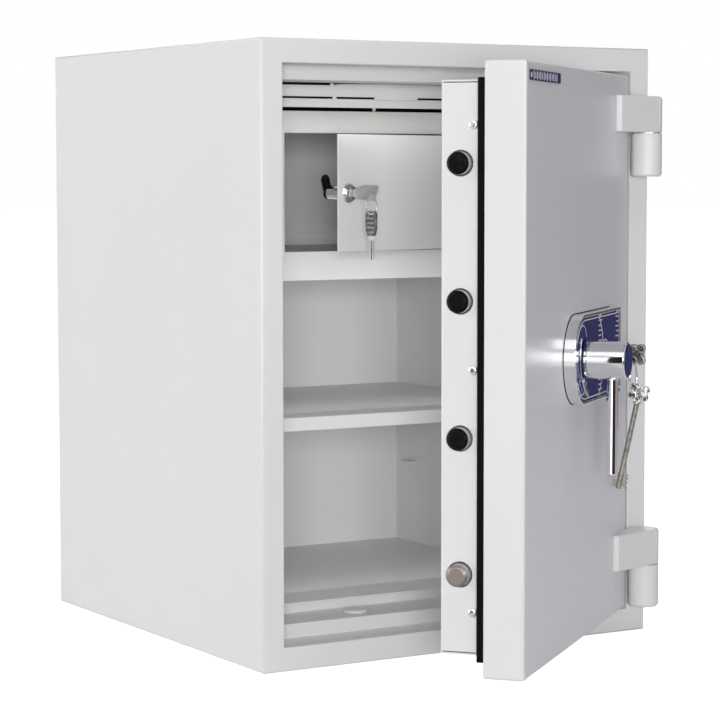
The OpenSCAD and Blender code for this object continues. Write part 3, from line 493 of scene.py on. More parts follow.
class Finishes(Enum):
    """The finishes of the safe."""

    BODY = PowderCoat("body_powder_coat", "body_paint", srgb(221, 221, 221), 0.4)
    FACE = PowderCoat("door_face_paint", "body_paint", srgb(224, 222, 228), 0.3,
                      peel=0.04 * MM, cell=2.2 * MM)
    INSIDE = PowderCoat("inside_powder_coat", "inside_paint", srgb(220, 220, 219), 0.46, peel=0.02 * MM)
    CHROME = Polished("chrome_plating", "bright_chrome", (0.86, 0.87, 0.88), 0.04)
    STEEL = Turned("machined_steel", "plain_steel", (0.58, 0.58, 0.59), 0.24)
    BOLT = Turned("bolt_steel", "plain_steel", (0.6, 0.6, 0.59), 0.3, metal=0.35)
    ZINC = Plated("passivated_zinc", "yellow_zinc", srgb(210, 186, 110), 0.28)
    SCREW = Turned("screw_plating", "plain_steel", (0.8, 0.8, 0.8), 0.22, metal=0.75)
    # Painted reflection: the lowest bolt's end is a paler brown-grey, standing in for the lighter reflection it
    # shows.
    LOW_BOLT_END_PAINTED_REFLECTION = Turned("low_bolt_end_painted_reflection", "plain_steel", (0.36, 0.31, 0.285), 0.3, stretch=(260.0, 260.0, 40.0))
    NICKEL = CastMetal("cast_nickel", "key_nickel", (0.2, 0.19, 0.165), 0.25, rubbed=(0.55, 0.53, 0.47))
    CHASED = Chased("chased_nickel", "key_nickel", (0.86, 0.85, 0.82), 0.2)
    PALE_KEY = CastMetal("pale_nickel", "key_nickel", (0.8, 0.8, 0.78), 0.42, rubbed=(0.92, 0.92, 0.9))
    KEY_BLADE = Turned("bright_key_blade", "key_nickel", (0.92, 0.92, 0.9), 0.25, metal=0.3)
    BLACKENED = CastMetal("blackened_metal", "dark_metal", (0.02, 0.02, 0.022), 0.34,
                          rubbed=(0.06, 0.06, 0.065))
    # Painted reflection: bolt ends are near black, standing in for the dark surroundings that their polished ends
    # mirror.
    BOLT_END_PAINTED_REFLECTION = CastMetal("bolt_end_painted_dark_reflection", "dark_metal", (0.006, 0.006, 0.007), 0.3,
                         rubbed=(0.02, 0.02, 0.02))
    DARK_KEY = CastMetal("dark_nickel", "dark_metal", (0.16, 0.16, 0.16), 0.22, rubbed=(0.75, 0.75, 0.75))
    NAVY = Enamel("gloss_navy", "navy_enamel", srgb(12, 14, 112), 0.03)
    PRINT = Enamel("white_print", "navy_enamel", srgb(232, 234, 240), 0.3)
    SEAL = Fibrous("seal_felt", "fire_seal", srgb(13, 13, 14), 0.8, fleck=srgb(30, 30, 32))
    # Painted shade: the filling is coloured near black so that the open joints and holes that show it read as
    # unlit gaps.
    CASTING = Fibrous("casting_painted_gap_shade", "cast_filling", srgb(30, 29, 28), 0.85, fleck=srgb(18, 18, 18),
                      grain=2.5 * MM, relief=0.5 * MM)

    def material(self) -> bpy.types.Material:
        """The finish's material."""
        return self.value.material()


def body_of(node: str) -> str:
    """Name of the body that holds a node of the part."""
    bodies = frame["record"]["behaviour"]["bodies"]
    return next(body for body, nodes in bodies.items() if node in nodes)


def extent(points: Sequence[Vector]) -> Box:
    """Lowest and highest corner of some points."""
    return tuple(Vector(pick(point[axis] for point in points) for axis in range(3)) for pick in (min, max))


def islands(node: str) -> list[Box]:
    """Finds the loose parts of a node's mesh.

    Args:
        node: Node of the part.

    Returns:
        Lowest and highest corner of each, sorted from front to back and from left to right.
    """
    bm = bmesh.new()
    bm.from_mesh(frame["nodes"][node].data)
    bmesh.ops.remove_doubles(bm, verts=bm.verts, dist=MERGE)
    boxes = []
    left = set(bm.verts)
    while left:
        group, edge = set(), [left.pop()]
        while edge:
            vertex = edge.pop()
            group.add(vertex)
            near = {other for link in vertex.link_edges for other in link.verts} & left
            left -= near
            edge.extend(near)
        points = [vertex.co for vertex in group]
        boxes.append(extent(points))
    bm.free()
    return sorted(boxes, key=lambda box: (round(box[0].y, 4), round(box[0].x, 4)))


class Shape:
    """A mesh under construction, with the operators that the pieces are made by.

    Attributes:
        BROAD: Mean width from which a face counts as flat, and not as a facet of a curve.
    """

    BROAD = 4 * MM

    def __init__(self) -> None:
        """Starts with an empty mesh."""
        self.bm = bmesh.new()

    @classmethod
    def copy_of(cls, node: str) -> "Shape":
        """Copies a node's mesh, merges its points and joins its flat faces.

        Args:
            node: Node of the part.

        Returns:
            The copy.
        """
        shape = cls()
        shape.bm.from_mesh(frame["nodes"][node].data)
        bmesh.ops.remove_doubles(shape.bm, verts=shape.bm.verts, dist=MERGE)
        bmesh.ops.dissolve_limit(shape.bm, angle_limit=math.radians(0.5), verts=shape.bm.verts,
                                 edges=shape.bm.edges, use_dissolve_boundaries=False)
        return shape

    @classmethod
    def lathe(cls, profile: Sequence[Point], steps: int = 96) -> "Shape":
        """A body turned about +Z.

        Args:
            profile: Radius and height of each point, from one end to the other.
            steps: Facets of the full turn.

        Returns:
            The closed shape.
        """
        shape = cls()
        points = [shape.bm.verts.new((radius, 0, height)) for radius, height in profile]
        edges = [shape.bm.edges.new(pair) for pair in zip(points, points[1:])]
        bmesh.ops.spin(shape.bm, geom=points + edges, cent=(0, 0, 0), axis=(0, 0, 1), dvec=(0, 0, 0),
                       angle=math.tau, steps=steps, use_merge=True, use_duplicate=False)
        bmesh.ops.remove_doubles(shape.bm, verts=shape.bm.verts, dist=0.0005 * MM)
        bmesh.ops.recalc_face_normals(shape.bm, faces=shape.bm.faces)
        return shape

    @classmethod
    def rod(cls, radius: float, low: float, high: float, steps: int) -> "Shape":
        """A round bar about +Z between two heights."""
        return cls.lathe([(0, low), (radius, low), (radius, high), (0, high)], steps)

    @classmethod
    def tube(cls, inner: float, outer: float, low: float, high: float, steps: int) -> "Shape":
        """A ring of rectangular section about +Z, between two radii and two heights."""
        return cls.lathe([(inner, low), (outer, low), (outer, high), (inner, high), (inner, low)], steps)

    @classmethod
    def plate(cls, outlines: Iterable[Outline], low: float, high: float) -> "Shape":
        """A plate cut from outlines in X and Y, the first round and the others its holes.

        Args:
            outlines: Closed outlines.
            low: Height of its underside.
            high: Height of its upper side.

        Returns:
            The closed shape.
        """
        shape = cls()
        edges = []
        for outline in outlines:
            points = [shape.bm.verts.new((x, y, low)) for x, y in outline]
            edges += [shape.bm.edges.new(pair) for pair in zip(points, points[1:] + points[:1])]
        filled = bmesh.ops.triangle_fill(shape.bm, use_beauty=True, use_dissolve=False, edges=edges)
        faces = [item for item in filled["geom"] if isinstance(item, bmesh.types.BMFace)]
        inner = {edge for face in faces for edge in face.edges}
        bmesh.ops.dissolve_limit(shape.bm, angle_limit=0.01, verts=[], edges=list(inner))
        raised = bmesh.ops.extrude_face_region(shape.bm, geom=shape.bm.faces[:], use_keep_orig=True)
        tops = [item for item in raised["geom"] if isinstance(item, bmesh.types.BMVert)]
        bmesh.ops.translate(shape.bm, vec=(0, 0, high - low), verts=tops)
        bmesh.ops.recalc_face_normals(shape.bm, faces=shape.bm.faces)
        return shape

    @classmethod
    def pad(cls, half: Point, corner: float, high: float) -> "Shape":
        """A low plate with round corners about the origin, from its half width and half length."""
        return cls.plate([rounded((-half[0], -half[1]), half, corner)], 0, high)

    @classmethod
    def hoop(cls, radius: float, wire: float, steps: int = 96, sides: int = 16) -> "Shape":
        """A closed ring of round wire about +Z.

        Args:
            radius: Radius of the ring to the middle of the wire.
            wire: Radius of the wire.
            steps: Facets of the full turn.
            sides: Facets round the wire.

        Returns:
            The closed shape.
        """
        shape = cls()
        made = bmesh.ops.create_circle(shape.bm, cap_ends=False, segments=sides, radius=wire)
        turn = Matrix.Rotation(math.pi / 2, 4, "X")
        bmesh.ops.transform(shape.bm, matrix=Matrix.Translation((radius, 0, 0)) @ turn, verts=made["verts"])
        bmesh.ops.spin(shape.bm, geom=shape.bm.verts[:] + shape.bm.edges[:], cent=(0, 0, 0), axis=(0, 0, 1),
                       dvec=(0, 0, 0), angle=math.tau, steps=steps, use_merge=True, use_duplicate=False)
        bmesh.ops.recalc_face_normals(shape.bm, faces=shape.bm.faces)
        return shape

    @classmethod
    def bead(cls, length: float, width: float, height: float, blunt: float = 1.0) -> "Shape":
        """A rounded bead along X about the origin.

        Args:
            length: Size in X.
            width: Size in Y.
            height: Size in Z.
            blunt: Shape of its ends; under 1 they are blunt and the middle is long and even.

        Returns:
            The closed shape.
        """
        shape = cls()
        bmesh.ops.create_uvsphere(shape.bm, u_segments=48, v_segments=24, radius=0.5)
        bmesh.ops.rotate(shape.bm, verts=shape.bm.verts, matrix=Matrix.Rotation(math.pi / 2, 3, "Y"))
        for vertex in shape.bm.verts:
            x, y, z = vertex.co
            vertex.co = (math.copysign(abs(2 * x) ** blunt / 2 * length, x), y * width, z * height)
        for face in shape.bm.faces:
            face.smooth = True
        return shape

    def soften(self, width: float, segments: int = 3, sharp: float = 28.0,
               wanted: Callable[[Vector], bool] | None = None) -> "Shape":
        """Rounds the sharp edges, and marks which faces are smooth.

        Args:
            width: How far the rounding reaches from each edge.
            segments: Facets across the rounding.
            sharp: Least angle in degrees between the faces of a sharp edge.
            wanted: Test of an edge's middle that says whether it is rounded.

        Returns:
            The shape itself.
        """
        least = math.radians(sharp)
        angles = {edge: edge.calc_face_angle(0.0) for edge in self.bm.edges if len(edge.link_faces) == 2}
        for face in self.bm.faces:
            bent = sum(0.01 < angles.get(edge, 0.0) <= least for edge in face.edges)
            longest = max(edge.calc_length() for edge in face.edges)
            face.smooth = bent > 1 and face.calc_area() < self.BROAD * longest
        edges = [edge for edge, angle in angles.items() if angle > least]
        if wanted:
            edges = [edge for edge in edges if wanted((edge.verts[0].co + edge.verts[1].co) / 2)]
        made = bmesh.ops.bevel(self.bm, geom=edges, offset=width, offset_type="OFFSET", segments=segments,
                               profile=0.5, affect="EDGES", clamp_overlap=False, material=-1)
        for face in made["faces"]:
            face.smooth = True
        self.bm.normal_update()
        return self

    def sink(self, direction: Vector, border: float, depth: float, least: float) -> "Shape":
        """Sets back the middle of the flat faces that look along one direction, both ways.

        Args:
            direction: Direction that the faces look along.
            border: Width of the rim that stays.
            depth: How deep the middle goes.
            least: Smallest area of a face that is set back.

        Returns:
            The shape itself.
        """
        self.bm.normal_update()
        faces = [f for f in self.bm.faces if abs(f.normal.dot(direction)) > 0.99 and f.calc_area() > least]
        bmesh.ops.inset_region(self.bm, faces=faces, thickness=border, depth=-depth, use_even_offset=True)
        return self

    def move(self, matrix: Matrix) -> "Shape":
        """Places the shape by a matrix."""
        bmesh.ops.transform(self.bm, matrix=matrix, verts=self.bm.verts)
        return self

    def join(self, *others: "Shape") -> "Shape":
        """Takes in the meshes of other shapes.

        Args:
            others: The other shapes, which can't be used afterwards.

        Returns:
            The shape itself.
        """
        for other in others:
            mesh = bpy.data.meshes.new("joined")
            other.bm.to_mesh(mesh)
            other.bm.free()
            self.bm.from_mesh(mesh)
            bpy.data.meshes.remove(mesh)
        return self

    def paint(self, index: int, wanted: Callable[[bmesh.types.BMFace], bool]) -> "Shape":
        """Gives some faces another of the piece's finishes.

        Args:
            index: Index of the finish.
            wanted: Test that says which faces get it.

        Returns:
            The shape itself.
        """
        for face in self.bm.faces:
            if wanted(face):
                face.material_index = index
        return self

    def piece(self, name: str, finishes: Finishes | Sequence[Finishes], body: str,
              stands_for: Sequence[str] = ()) -> bpy.types.Object:
        """Ends the shape as an object that moves with a body.

        Args:
            name: Name of the piece.
            finishes: Its finish, or its finishes in the order of their index.
            body: Body that it moves with.
            stands_for: Nodes of the part that it is shown in place of.

        Returns:
            The object.
        """
        finishes = [finishes] if isinstance(finishes, Finishes) else list(finishes)
        mesh = bpy.data.meshes.new(name)
        self.bm.to_mesh(mesh)
        self.bm.free()
        for attribute in ("custom_normal", "UVMap"):
            found = mesh.attributes.get(attribute)
            if found:
                mesh.attributes.remove(found)
        for finish in finishes:
            mesh.materials.append(finish.material())
        shade_evenly(mesh)
        piece = new_object(name, mesh)
        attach(piece, body)
        if stands_for:
            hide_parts(*stands_for)
        LOG.info("%s: %d faces on %s", name, len(mesh.polygons), body)
        return piece


def shade_evenly(mesh: bpy.types.Mesh) -> None:
    """Lets the large faces set the shading normals, so that a rounded edge doesn't bend their light.

    Args:
        mesh: Mesh whose custom normals are set.
    """
    sums = [Vector() for _ in mesh.vertices]
    for face in mesh.polygons:
        for index in face.vertices:
            sums[index] += face.normal * face.area
    normals = []
    for face in mesh.polygons:
        smooth = face.use_smooth
        normals += [sums[index].normalized() if smooth else face.normal.copy() for index in face.vertices]
    mesh.normals_split_custom_set(normals)


def dress(node: str, finish: Finishes, width: float = 0.5 * MM, segments: int = 3,
          wanted: Callable[[Vector], bool] | None = None) -> bpy.types.Object:
    """Shows a node as a copy with rounded edges.

    Args:
        node: Node of the part.
        finish: Finish of the copy.
        width: Reach of the rounding.
        segments: Facets across the rounding.
        wanted: Test of an edge's middle that says whether it is rounded.

    Returns:
        The piece that replaces the node.
    """
    shape = Shape.copy_of(node).soften(width, segments, wanted=wanted)
    return shape.piece(f"{node}_finished", finish, body_of(node), [node])


def coat(finish: Finishes, *nodes: str) -> None:
    """Gives nodes that stay as they are a finish.

    Args:
        finish: The finish.
        nodes: Nodes of the part.
    """
    for node in nodes:
        thing = frame["nodes"][node]
        thing.data.materials.clear()
        thing.data.materials.append(finish.material())
        LOG.info("%s: coated with %s", node, finish.value.name)


def arc(centre: Point, radius: float, start: float, end: float, steps: int = 24) -> Outline:
    """Points along an arc, angles in degrees."""
    angles = [math.radians(start + (end - start) * i / steps) for i in range(steps + 1)]
    return [(centre[0] + radius * math.cos(a), centre[1] + radius * math.sin(a)) for a in angles]


def rounded(low: Point, high: Point, radius: float, steps: int = 6) -> Outline:
    """Outline of a rectangle with round corners.

    Args:
        low: Its lower left corner.
        high: Its upper right corner.
        radius: Radius of its corners.
        steps: Facets of a corner.

    Returns:
        The outline, counterclockwise.
    """
    inner = [(low[0] + radius, low[1] + radius), (high[0] - radius, low[1] + radius),
             (high[0] - radius, high[1] - radius), (low[0] + radius, high[1] - radius)]
    corners = [arc(centre, radius, 180 + 90 * i, 270 + 90 * i, steps) for i, centre in enumerate(inner)]
    return [point for corner in corners for point in corner]


def band(centre: Point, radius: float, width: float, start: float, end: float, steps: int = 32) -> Outline:
    """Outline of a strip that follows an arc.

    Args:
        centre: Centre of the arc.
        radius: Radius of the strip's middle line.
        width: Width of the strip.
        start: Angle at which it starts, in degrees.
        end: Angle at which it ends, in degrees.
        steps: Facets of the arc.

    Returns:
        The outline.
    """
    outer = arc(centre, radius + width / 2, start, end, steps)
    inner = arc(centre, radius - width / 2, end, start, steps)
    return outer + inner


def square(low: Point, high: Point) -> Outline:
    """Outline of a rectangle with sharp corners."""
    return [low, (high[0], low[1]), high, (low[0], high[1])]


@dataclass(frozen=True)
class Swing:
    """How an open door stands.

    Attributes:
        pivot: Point on its hinge axis.
        angle: Angle by which it stands open, in radians.
    """

    pivot: Vector
    angle: float

    @classmethod
    def of(cls, joint: str) -> "Swing":
        """Reads the place from a joint whose lower limit is the shut door."""
        found = next(j for j in frame["joints"] if j["name"] == joint)
        return cls(Vector(found["pos_m"]), math.radians(-found["range_deg"][0]))

    def open(self) -> Matrix:
        """Matrix that swings what is shut to where it stands."""
        there = Matrix.Translation(self.pivot)
        return there @ Matrix.Rotation(self.angle, 4, "Z") @ there.inverted()

    def box(self, node: str) -> Box:
        """Measures a node on the shut door.

        Args:
            node: Node of the part.

        Returns:
            Its lowest and highest corner.
        """
        back = self.open().inverted()
        points = [back @ vertex.co for vertex in frame["nodes"][node].data.vertices]
        return extent(points)

    def turned(self, x: float, y: float) -> Vector:
        """Where a level direction of the shut door points once it is open."""
        return self.open().to_3x3() @ Vector((x, y, 0))

    def facing(self, x: float, y: float, z: float) -> Matrix:
        """Matrix for a shape drawn along +Z with X to the right, which points out of the open door."""
        return self.open() @ Matrix.Translation((x, y, z)) @ Matrix.Rotation(math.pi / 2, 4, "X")

    def sideways(self, x: float, y: float, z: float, side: int) -> Matrix:
        """Matrix for a shape drawn along +Z, which points to one side of the open door."""
        turn = Matrix.Rotation(side * math.pi / 2, 4, "Y")
        return self.open() @ Matrix.Translation((x, y, z)) @ turn


@dataclass
class Studio:
    """Camera, floor, lamps and surroundings of the picture.

    Attributes:
        camera_place: Where the camera stands.
        camera_turn: Compass angle and rise of the view, and its roll, in degrees.
        lens: Focal length in millimetres for a sensor 36 mm wide.
        ambient: Light of the surroundings.
        mirrored: How bright the surroundings show in reflections.
        floor_glow: How far the floor is lifted to plain white.
        floor_drop: How far the floor lies below the safe's underside.
        middle: Point that the lamps look at.
        handle: Point about which the reflected cards stand.
    """

    camera_place: Place = (-1.4382, -2.4407, 0.5135)
    camera_turn: Place = (-30.92, 4.36, 0.05)
    lens: float = 122.805
    ambient: float = 0.24
    mirrored: float = 0.55
    floor_glow: float = 0.84
    floor_drop: float = 0.4 * MM
    middle: Place = (0.0, -0.1, 0.33)
    handle: Place = (0.02, -0.42, 0.32)

    def camera(self) -> None:
        """Sets the camera at the photograph's angle."""
        azimuth, elevation, roll = (math.radians(v) for v in self.camera_turn)
        back = Vector((math.sin(azimuth) * math.cos(elevation), -math.cos(azimuth) * math.cos(elevation),
                       math.sin(elevation)))
        right = Vector((0, 0, 1)).cross(back).normalized()
        basis = Matrix((right, back.cross(right), back)).transposed() @ Matrix.Rotation(-roll, 3, "Z")
        data = bpy.data.cameras.new("camera")
        data.lens = self.lens
        data.sensor_width = 36.0
        data.clip_end = 100.0
        place = Matrix.Translation(self.camera_place) @ basis.to_4x4()
        bpy.context.scene.camera = new_object("camera", data, place)

    def seen(self, graph: Graph) -> Wire:
        """1 for rays that show the surroundings straight, else 0."""
        path = graph.add("ShaderNodeLightPath")
        return graph.out(path, "Is Camera Ray").either(graph.out(path, "Is Transmission Ray"))

    def world(self) -> None:
        """A soft even glow that shows as plain white, and as grey in reflections."""
        world = bpy.data.worlds.new("surroundings")
        world.use_nodes = True
        bpy.context.scene.world = world
        graph = Graph(world.node_tree)
        glossy = graph.out(graph.add("ShaderNodeLightPath"), "Is Glossy Ray")
        level = self.seen(graph) * (1 - self.ambient) + glossy * (self.mirrored - self.ambient) + self.ambient
        glow = graph.add("ShaderNodeBackground", {}, {"Color": (1, 1, 1, 1), "Strength": level})
        graph.add("ShaderNodeOutputWorld", {}, {"Surface": graph.out(glow)})

    def floor(self) -> None:
        """A pale floor that shows white and keeps the shadow."""
        def surface(graph: Graph) -> Wire:
            """Matt white with a glow that only the camera sees.

            Args:
                graph: Graph that takes the nodes.

            Returns:
                The wire of the surface.
            """
            matt = graph.add("ShaderNodeBsdfDiffuse", {}, {"Color": (0.9, 0.9, 0.9, 1)})
            glow = graph.add("ShaderNodeEmission", {}, {"Color": (1, 1, 1, 1),
                                                        "Strength": self.seen(graph) * self.floor_glow})
            return graph.out(graph.add("ShaderNodeAddShader", {}, {0: graph.out(matt), 1: graph.out(glow)}))

        place = Matrix.Translation((0, 0, -self.floor_drop))
        self.card("floor", 30.0, place, new_material("pale_floor", surface))

    def card(self, name: str, size: float, place: Matrix, material: bpy.types.Material) -> bpy.types.Object:
        """A flat square of the set.

        Args:
            name: Name of the square.
            size: Half its width.
            place: Where it stands; it is drawn flat about the origin.
            material: Its material.

        Returns:
            The object.
        """
        bm = bmesh.new()
        bmesh.ops.create_grid(bm, x_segments=1, y_segments=1, size=size, matrix=place)
        mesh = bpy.data.meshes.new(name)
        bm.to_mesh(mesh)
        bm.free()
        mesh.materials.append(material)
        card = new_object(name, mesh)
        return card

    def stand(self, about: Place, towards: Place, distance: float) -> Matrix:
        """Place of something that looks at a point.

        Args:
            about: The point.
            towards: Direction from the point in which it stands.
            distance: How far from the point it stands.

        Returns:
            Matrix that turns its -Z to the point.
        """
        direction = Vector(towards).normalized()
        turn = direction.to_track_quat("Z", "Y").to_matrix().to_4x4()
        return Matrix.Translation(Vector(about) + direction * distance) @ turn

    def flag(self, name: str, towards: Place, distance: float, size: Point, glow: Colour) -> None:
        """A dark or bright card that shows only in reflections.

        Args:
            name: Name of the card.
            towards: Direction from the handle in which it stands.
            distance: How far from the handle it stands.
            size: Half its width and half its height.
            glow: The light that it shows.
        """
        def surface(graph: Graph) -> Wire:
            """Plain light."""
            return graph.out(graph.add("ShaderNodeEmission", {}, {"Color": (*glow, 1), "Strength": 1.0}))

        place = self.stand(self.handle, towards, distance) @ Matrix.Diagonal((*size, 1, 1))
        card = self.card(name, 1.0, place, new_material(name, surface))
        card.visible_camera = False
        card.visible_diffuse = False
        card.visible_shadow = False
        card.visible_transmission = False

    def area(self, name: str, place: Matrix, size: Point, energy: float, mirrored: bool) -> None:
        """An area lamp that the camera doesn't see.

        Args:
            name: Name of the lamp.
            place: Its place; it shines along its -Z.
            size: Its width and height.
            energy: Its power in watts.
            mirrored: Whether it shows in reflections.
        """
        light = bpy.data.lights.new(name, "AREA")
        light.shape = "RECTANGLE"
        light.size, light.size_y = size
        light.energy = energy
        lamp = new_object(name, light, place)
        lamp.visible_camera = False
        lamp.visible_glossy = mirrored

    def lamp(self, name: str, towards: Place, distance: float, size: float, level: float,
             mirrored: bool = True) -> None:
        """A square soft lamp that looks at the middle of the safe.

        Args:
            name: Name of the lamp.
            towards: Direction from the safe in which it stands.
            distance: How far from the safe it stands.
            size: Its width.
            level: Brightness that a white card square to it would show.
            mirrored: Whether it shows in reflections.
        """
        energy = math.pi ** 2 * distance ** 2 * level
        self.area(name, self.stand(self.middle, towards, distance), (size, size), energy, mirrored)

    def inside_lamp(self, name: str, middle: Place, size: Point, level: float) -> None:
        """A soft lamp in the opening, which lifts the shade inside and looks to the back.

        Args:
            name: Name of the lamp.
            middle: Its middle.
            size: Its width and height.
            level: Radiance.
        """
        place = Matrix.Translation(middle) @ Matrix.Rotation(math.pi / 2, 4, "X")
        self.area(name, place, size, math.pi * size[0] * size[1] * level, False)

    def build(self) -> None:
        """Makes the whole set."""
        bpy.context.scene.view_settings.view_transform = "Standard"
        self.camera()
        self.world()
        self.floor()
        self.lamp("front_lamp", (-0.49, -0.87, 0.07), 5.0, 1.0, 0.47, mirrored=False)
        self.lamp("left_lamp", (-1.0, 0.45, 0.2), 2.8, 1.6, 0.4)
        self.lamp("top_lamp", (0.0, -0.3, 1.0), 2.6, 1.8, 0.31)
        self.lamp("back_lamp", (0.5, 0.86, 0.35), 3.0, 1.6, 0.2)
        self.inside_lamp("mouth_lamp", (0.0, -0.172, 0.325), (0.38, 0.52), 0.2)
        self.inside_lamp("header_lamp", (0.0, -0.14, 0.573), (0.37, 0.024), 1.6)
        self.inside_lamp("middle_lamp", (0.0, -0.1, 0.33), (0.36, 0.12), 0.6)
        self.inside_lamp("lower_lamp", (0.0, -0.1, 0.14), (0.36, 0.16), 0.42)
        self.flag("front_card", (-0.242, -0.970, 0.19), 1.6, (1.08, 0.25), (6.0, 6.0, 6.0))
        self.flag("upper_card", (-0.7638, -0.6455, 0.9), 1.7, (0.75, 0.37), (4.0, 4.0, 4.0))
        self.flag("front_strip", (-0.055, -0.998, -0.175), 1.2, (0.72, 0.2), (0.05, 0.02, 0.027))
        self.flag("lever_card", (-0.7, -0.714, -0.1), 1.3, (0.24, 0.17), (3.6, 3.6, 3.6))
        self.flag("left_flag", (-0.896, -0.443, 0.1), 1.2, (0.15, 0.39), (0.01, 0.01, 0.01))
        self.flag("ceiling_flag", (0.15, -0.18, 1.0), 1.5, (0.95, 0.95), (0.1, 0.1, 0.1))
        self.flag("right_flag", (0.93, 0.36, 0.12), 2.4, (0.9, 0.9), (0.11, 0.11, 0.11))


@dataclass(frozen=True)
class Bead:
    """How a bead lies in an open joint.

    Attributes:
        depth: Its depth.
        slack: How much lower it is than the joint.
        setback: How far its middle lies behind the joint's front.
        blunt: Shape of its ends, where 1 gives those of an ellipsoid.
    """

    depth: float
    slack: float
    setback: float
    blunt: float

    def across(self, joint: Box, start: float, end: float) -> Shape:
        """Lays the bead in a joint.

        Args:
            joint: Lowest and highest corner of a weld in the joint.
            start: Where the bead starts in X.
            end: Where the bead ends in X.

        Returns:
            The bead in its place.
        """
        low, high = joint
        middle = Vector(((start + end) / 2, low.y + self.setback, (low.z + high.z) / 2))
        bead = Shape.bead(end - start, self.depth, high.z - low.z - self.slack, self.blunt)
        return bead.move(Matrix.Translation(middle))


@dataclass
class Cabinet:
    """The double-walled body with its stepped frame and everything fixed inside it.

    Attributes:
        bend: Rounding of the outer sheet where it rolls into the opening.
        fold: Rounding of the frame's folds.
        sheet: Rounding of the liner and the shelf.
        edge: Rounding of the collar and the anchor caps.
        lap: How far paint narrows the joint round the liner.
        overrun: How far the paint of the front joint passes the outermost weld.
        closed: Where paint closes the joint round the liner, from one end to the other.
        weld: Bead of a tack weld.
        paint: Bead of paint in a joint.
    """

    bend: float = 1.6 * MM
    fold: float = 0.8 * MM
    sheet: float = 0.7 * MM
    edge: float = 0.4 * MM
    lap: float = 1.3 * MM
    overrun: float = 60 * MM
    closed: Point = (-50 * MM, 6 * MM)
    weld: Bead = Bead(2.0 * MM, 0.2 * MM, 0.8 * MM, 1.0)
    paint: Bead = Bead(2.2 * MM, 0.4 * MM, 1.4 * MM, 0.45)

    def shell(self) -> None:
        """The outer sheet, rolled over into the door opening."""
        low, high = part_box("outer_shell")
        border = 10 * MM

        def at_opening(middle: Vector) -> bool:
            """Whether an edge lies on the front plane, inside the outline."""
            within = low.x + border < middle.x < high.x - border
            return within and low.z + border < middle.z < high.z - border and middle.y < low.y + NEAR

        dress("outer_shell", Finishes.BODY, self.bend, 4, at_opening)

    def frame(self) -> None:
        """The stepped frame, with rounded folds, clean bolt holes and a sharp seam to the outer sheet."""
        low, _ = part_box("door_frame")
        dress("door_frame", Finishes.BODY, self.fold, 3, lambda middle: middle.y > low.y + NEAR)

    def inside(self) -> None:
        """Collar, liner, shelf and what they carry."""
        collar = Shape.copy_of("throat_collar")
        _, liner, _ = self.joints()
        lip = [vertex for vertex in collar.bm.verts if abs(vertex.co.z - liner[1].z) < 2 * NEAR]
        bmesh.ops.translate(collar.bm, vec=(0, 0, -self.lap), verts=lip)
        collar.soften(self.edge)
        collar.piece("throat_collar_finished", Finishes.INSIDE, "cabinet", ["throat_collar"])
        dress("inner_liner", Finishes.INSIDE, self.sheet)
        dress("shelf", Finishes.INSIDE, self.sheet)
        dress("shelf_tabs", Finishes.INSIDE, self.sheet / 2)
        dress("anchor_caps", Finishes.BODY, self.edge)

    def hidden(self) -> None:
        """Pieces within the walls."""
        # The filling seen in the joints is coloured near black as painted shade.
        coat(Finishes.CASTING, "insulation_fill")
        coat(Finishes.STEEL, "bolt_keeper", "dog_keeper", "anchor_sleeves", "hinge_pins")

    def joints(self) -> list[Box]:
        """Finds the open joints by their welds.

        Returns:
            Lowest and highest corner of a weld in each joint, from the front to the back.
        """
        rows: dict[int, Box] = {}
        for low, high in islands("tack_welds"):
            rows.setdefault(round(low.y / MM), (low, high))
        return [rows[key] for key in sorted(rows)]

    def welds(self) -> None:
        """Painted tack welds over the open joints, and paint that closes some of them."""
        welds = islands("tack_welds")
        inset, clear = 0.5 * MM, 6 * MM
        beads = Shape().join(*(self.weld.across(weld, weld[0].x + inset, weld[1].x - inset)
                               for weld in welds))
        beads.piece("tack_weld_beads", Finishes.INSIDE, "cabinet", ["tack_welds"])
        collar, liner, _ = self.joints()
        first = welds[0][0].x
        paint = self.paint.across(collar, first + clear, self.overrun - first)
        paint.join(self.paint.across(liner, *self.closed)).piece("joint_paint", Finishes.INSIDE, "cabinet")

    def strip(self) -> None:
        """A dark strip in the joint over the small compartment, painted shade that stands in for the unlit gap
        there.
        """
        low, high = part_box("locker_front")
        _, _, (joint_low, joint_high) = self.joints()
        corner, clear = 1 * MM, 0.1 * MM
        outline = rounded((low.x + corner, high.y - 5 * MM), (high.x - corner, high.y - corner), corner)
        shape = Shape.plate([outline], joint_low.z + clear, joint_high.z - clear).soften(0.3 * MM, 2)
        # Painted shade: a near-black strip where the gap above the small compartment is only in shadow.
        shape.piece("locker_top_painted_shade", Finishes.SEAL, "cabinet")

    def build(self) -> None:
        """Dresses the whole cabinet."""
        self.shell()
        self.frame()
        self.inside()
        self.hidden()
        self.welds()
        self.strip()


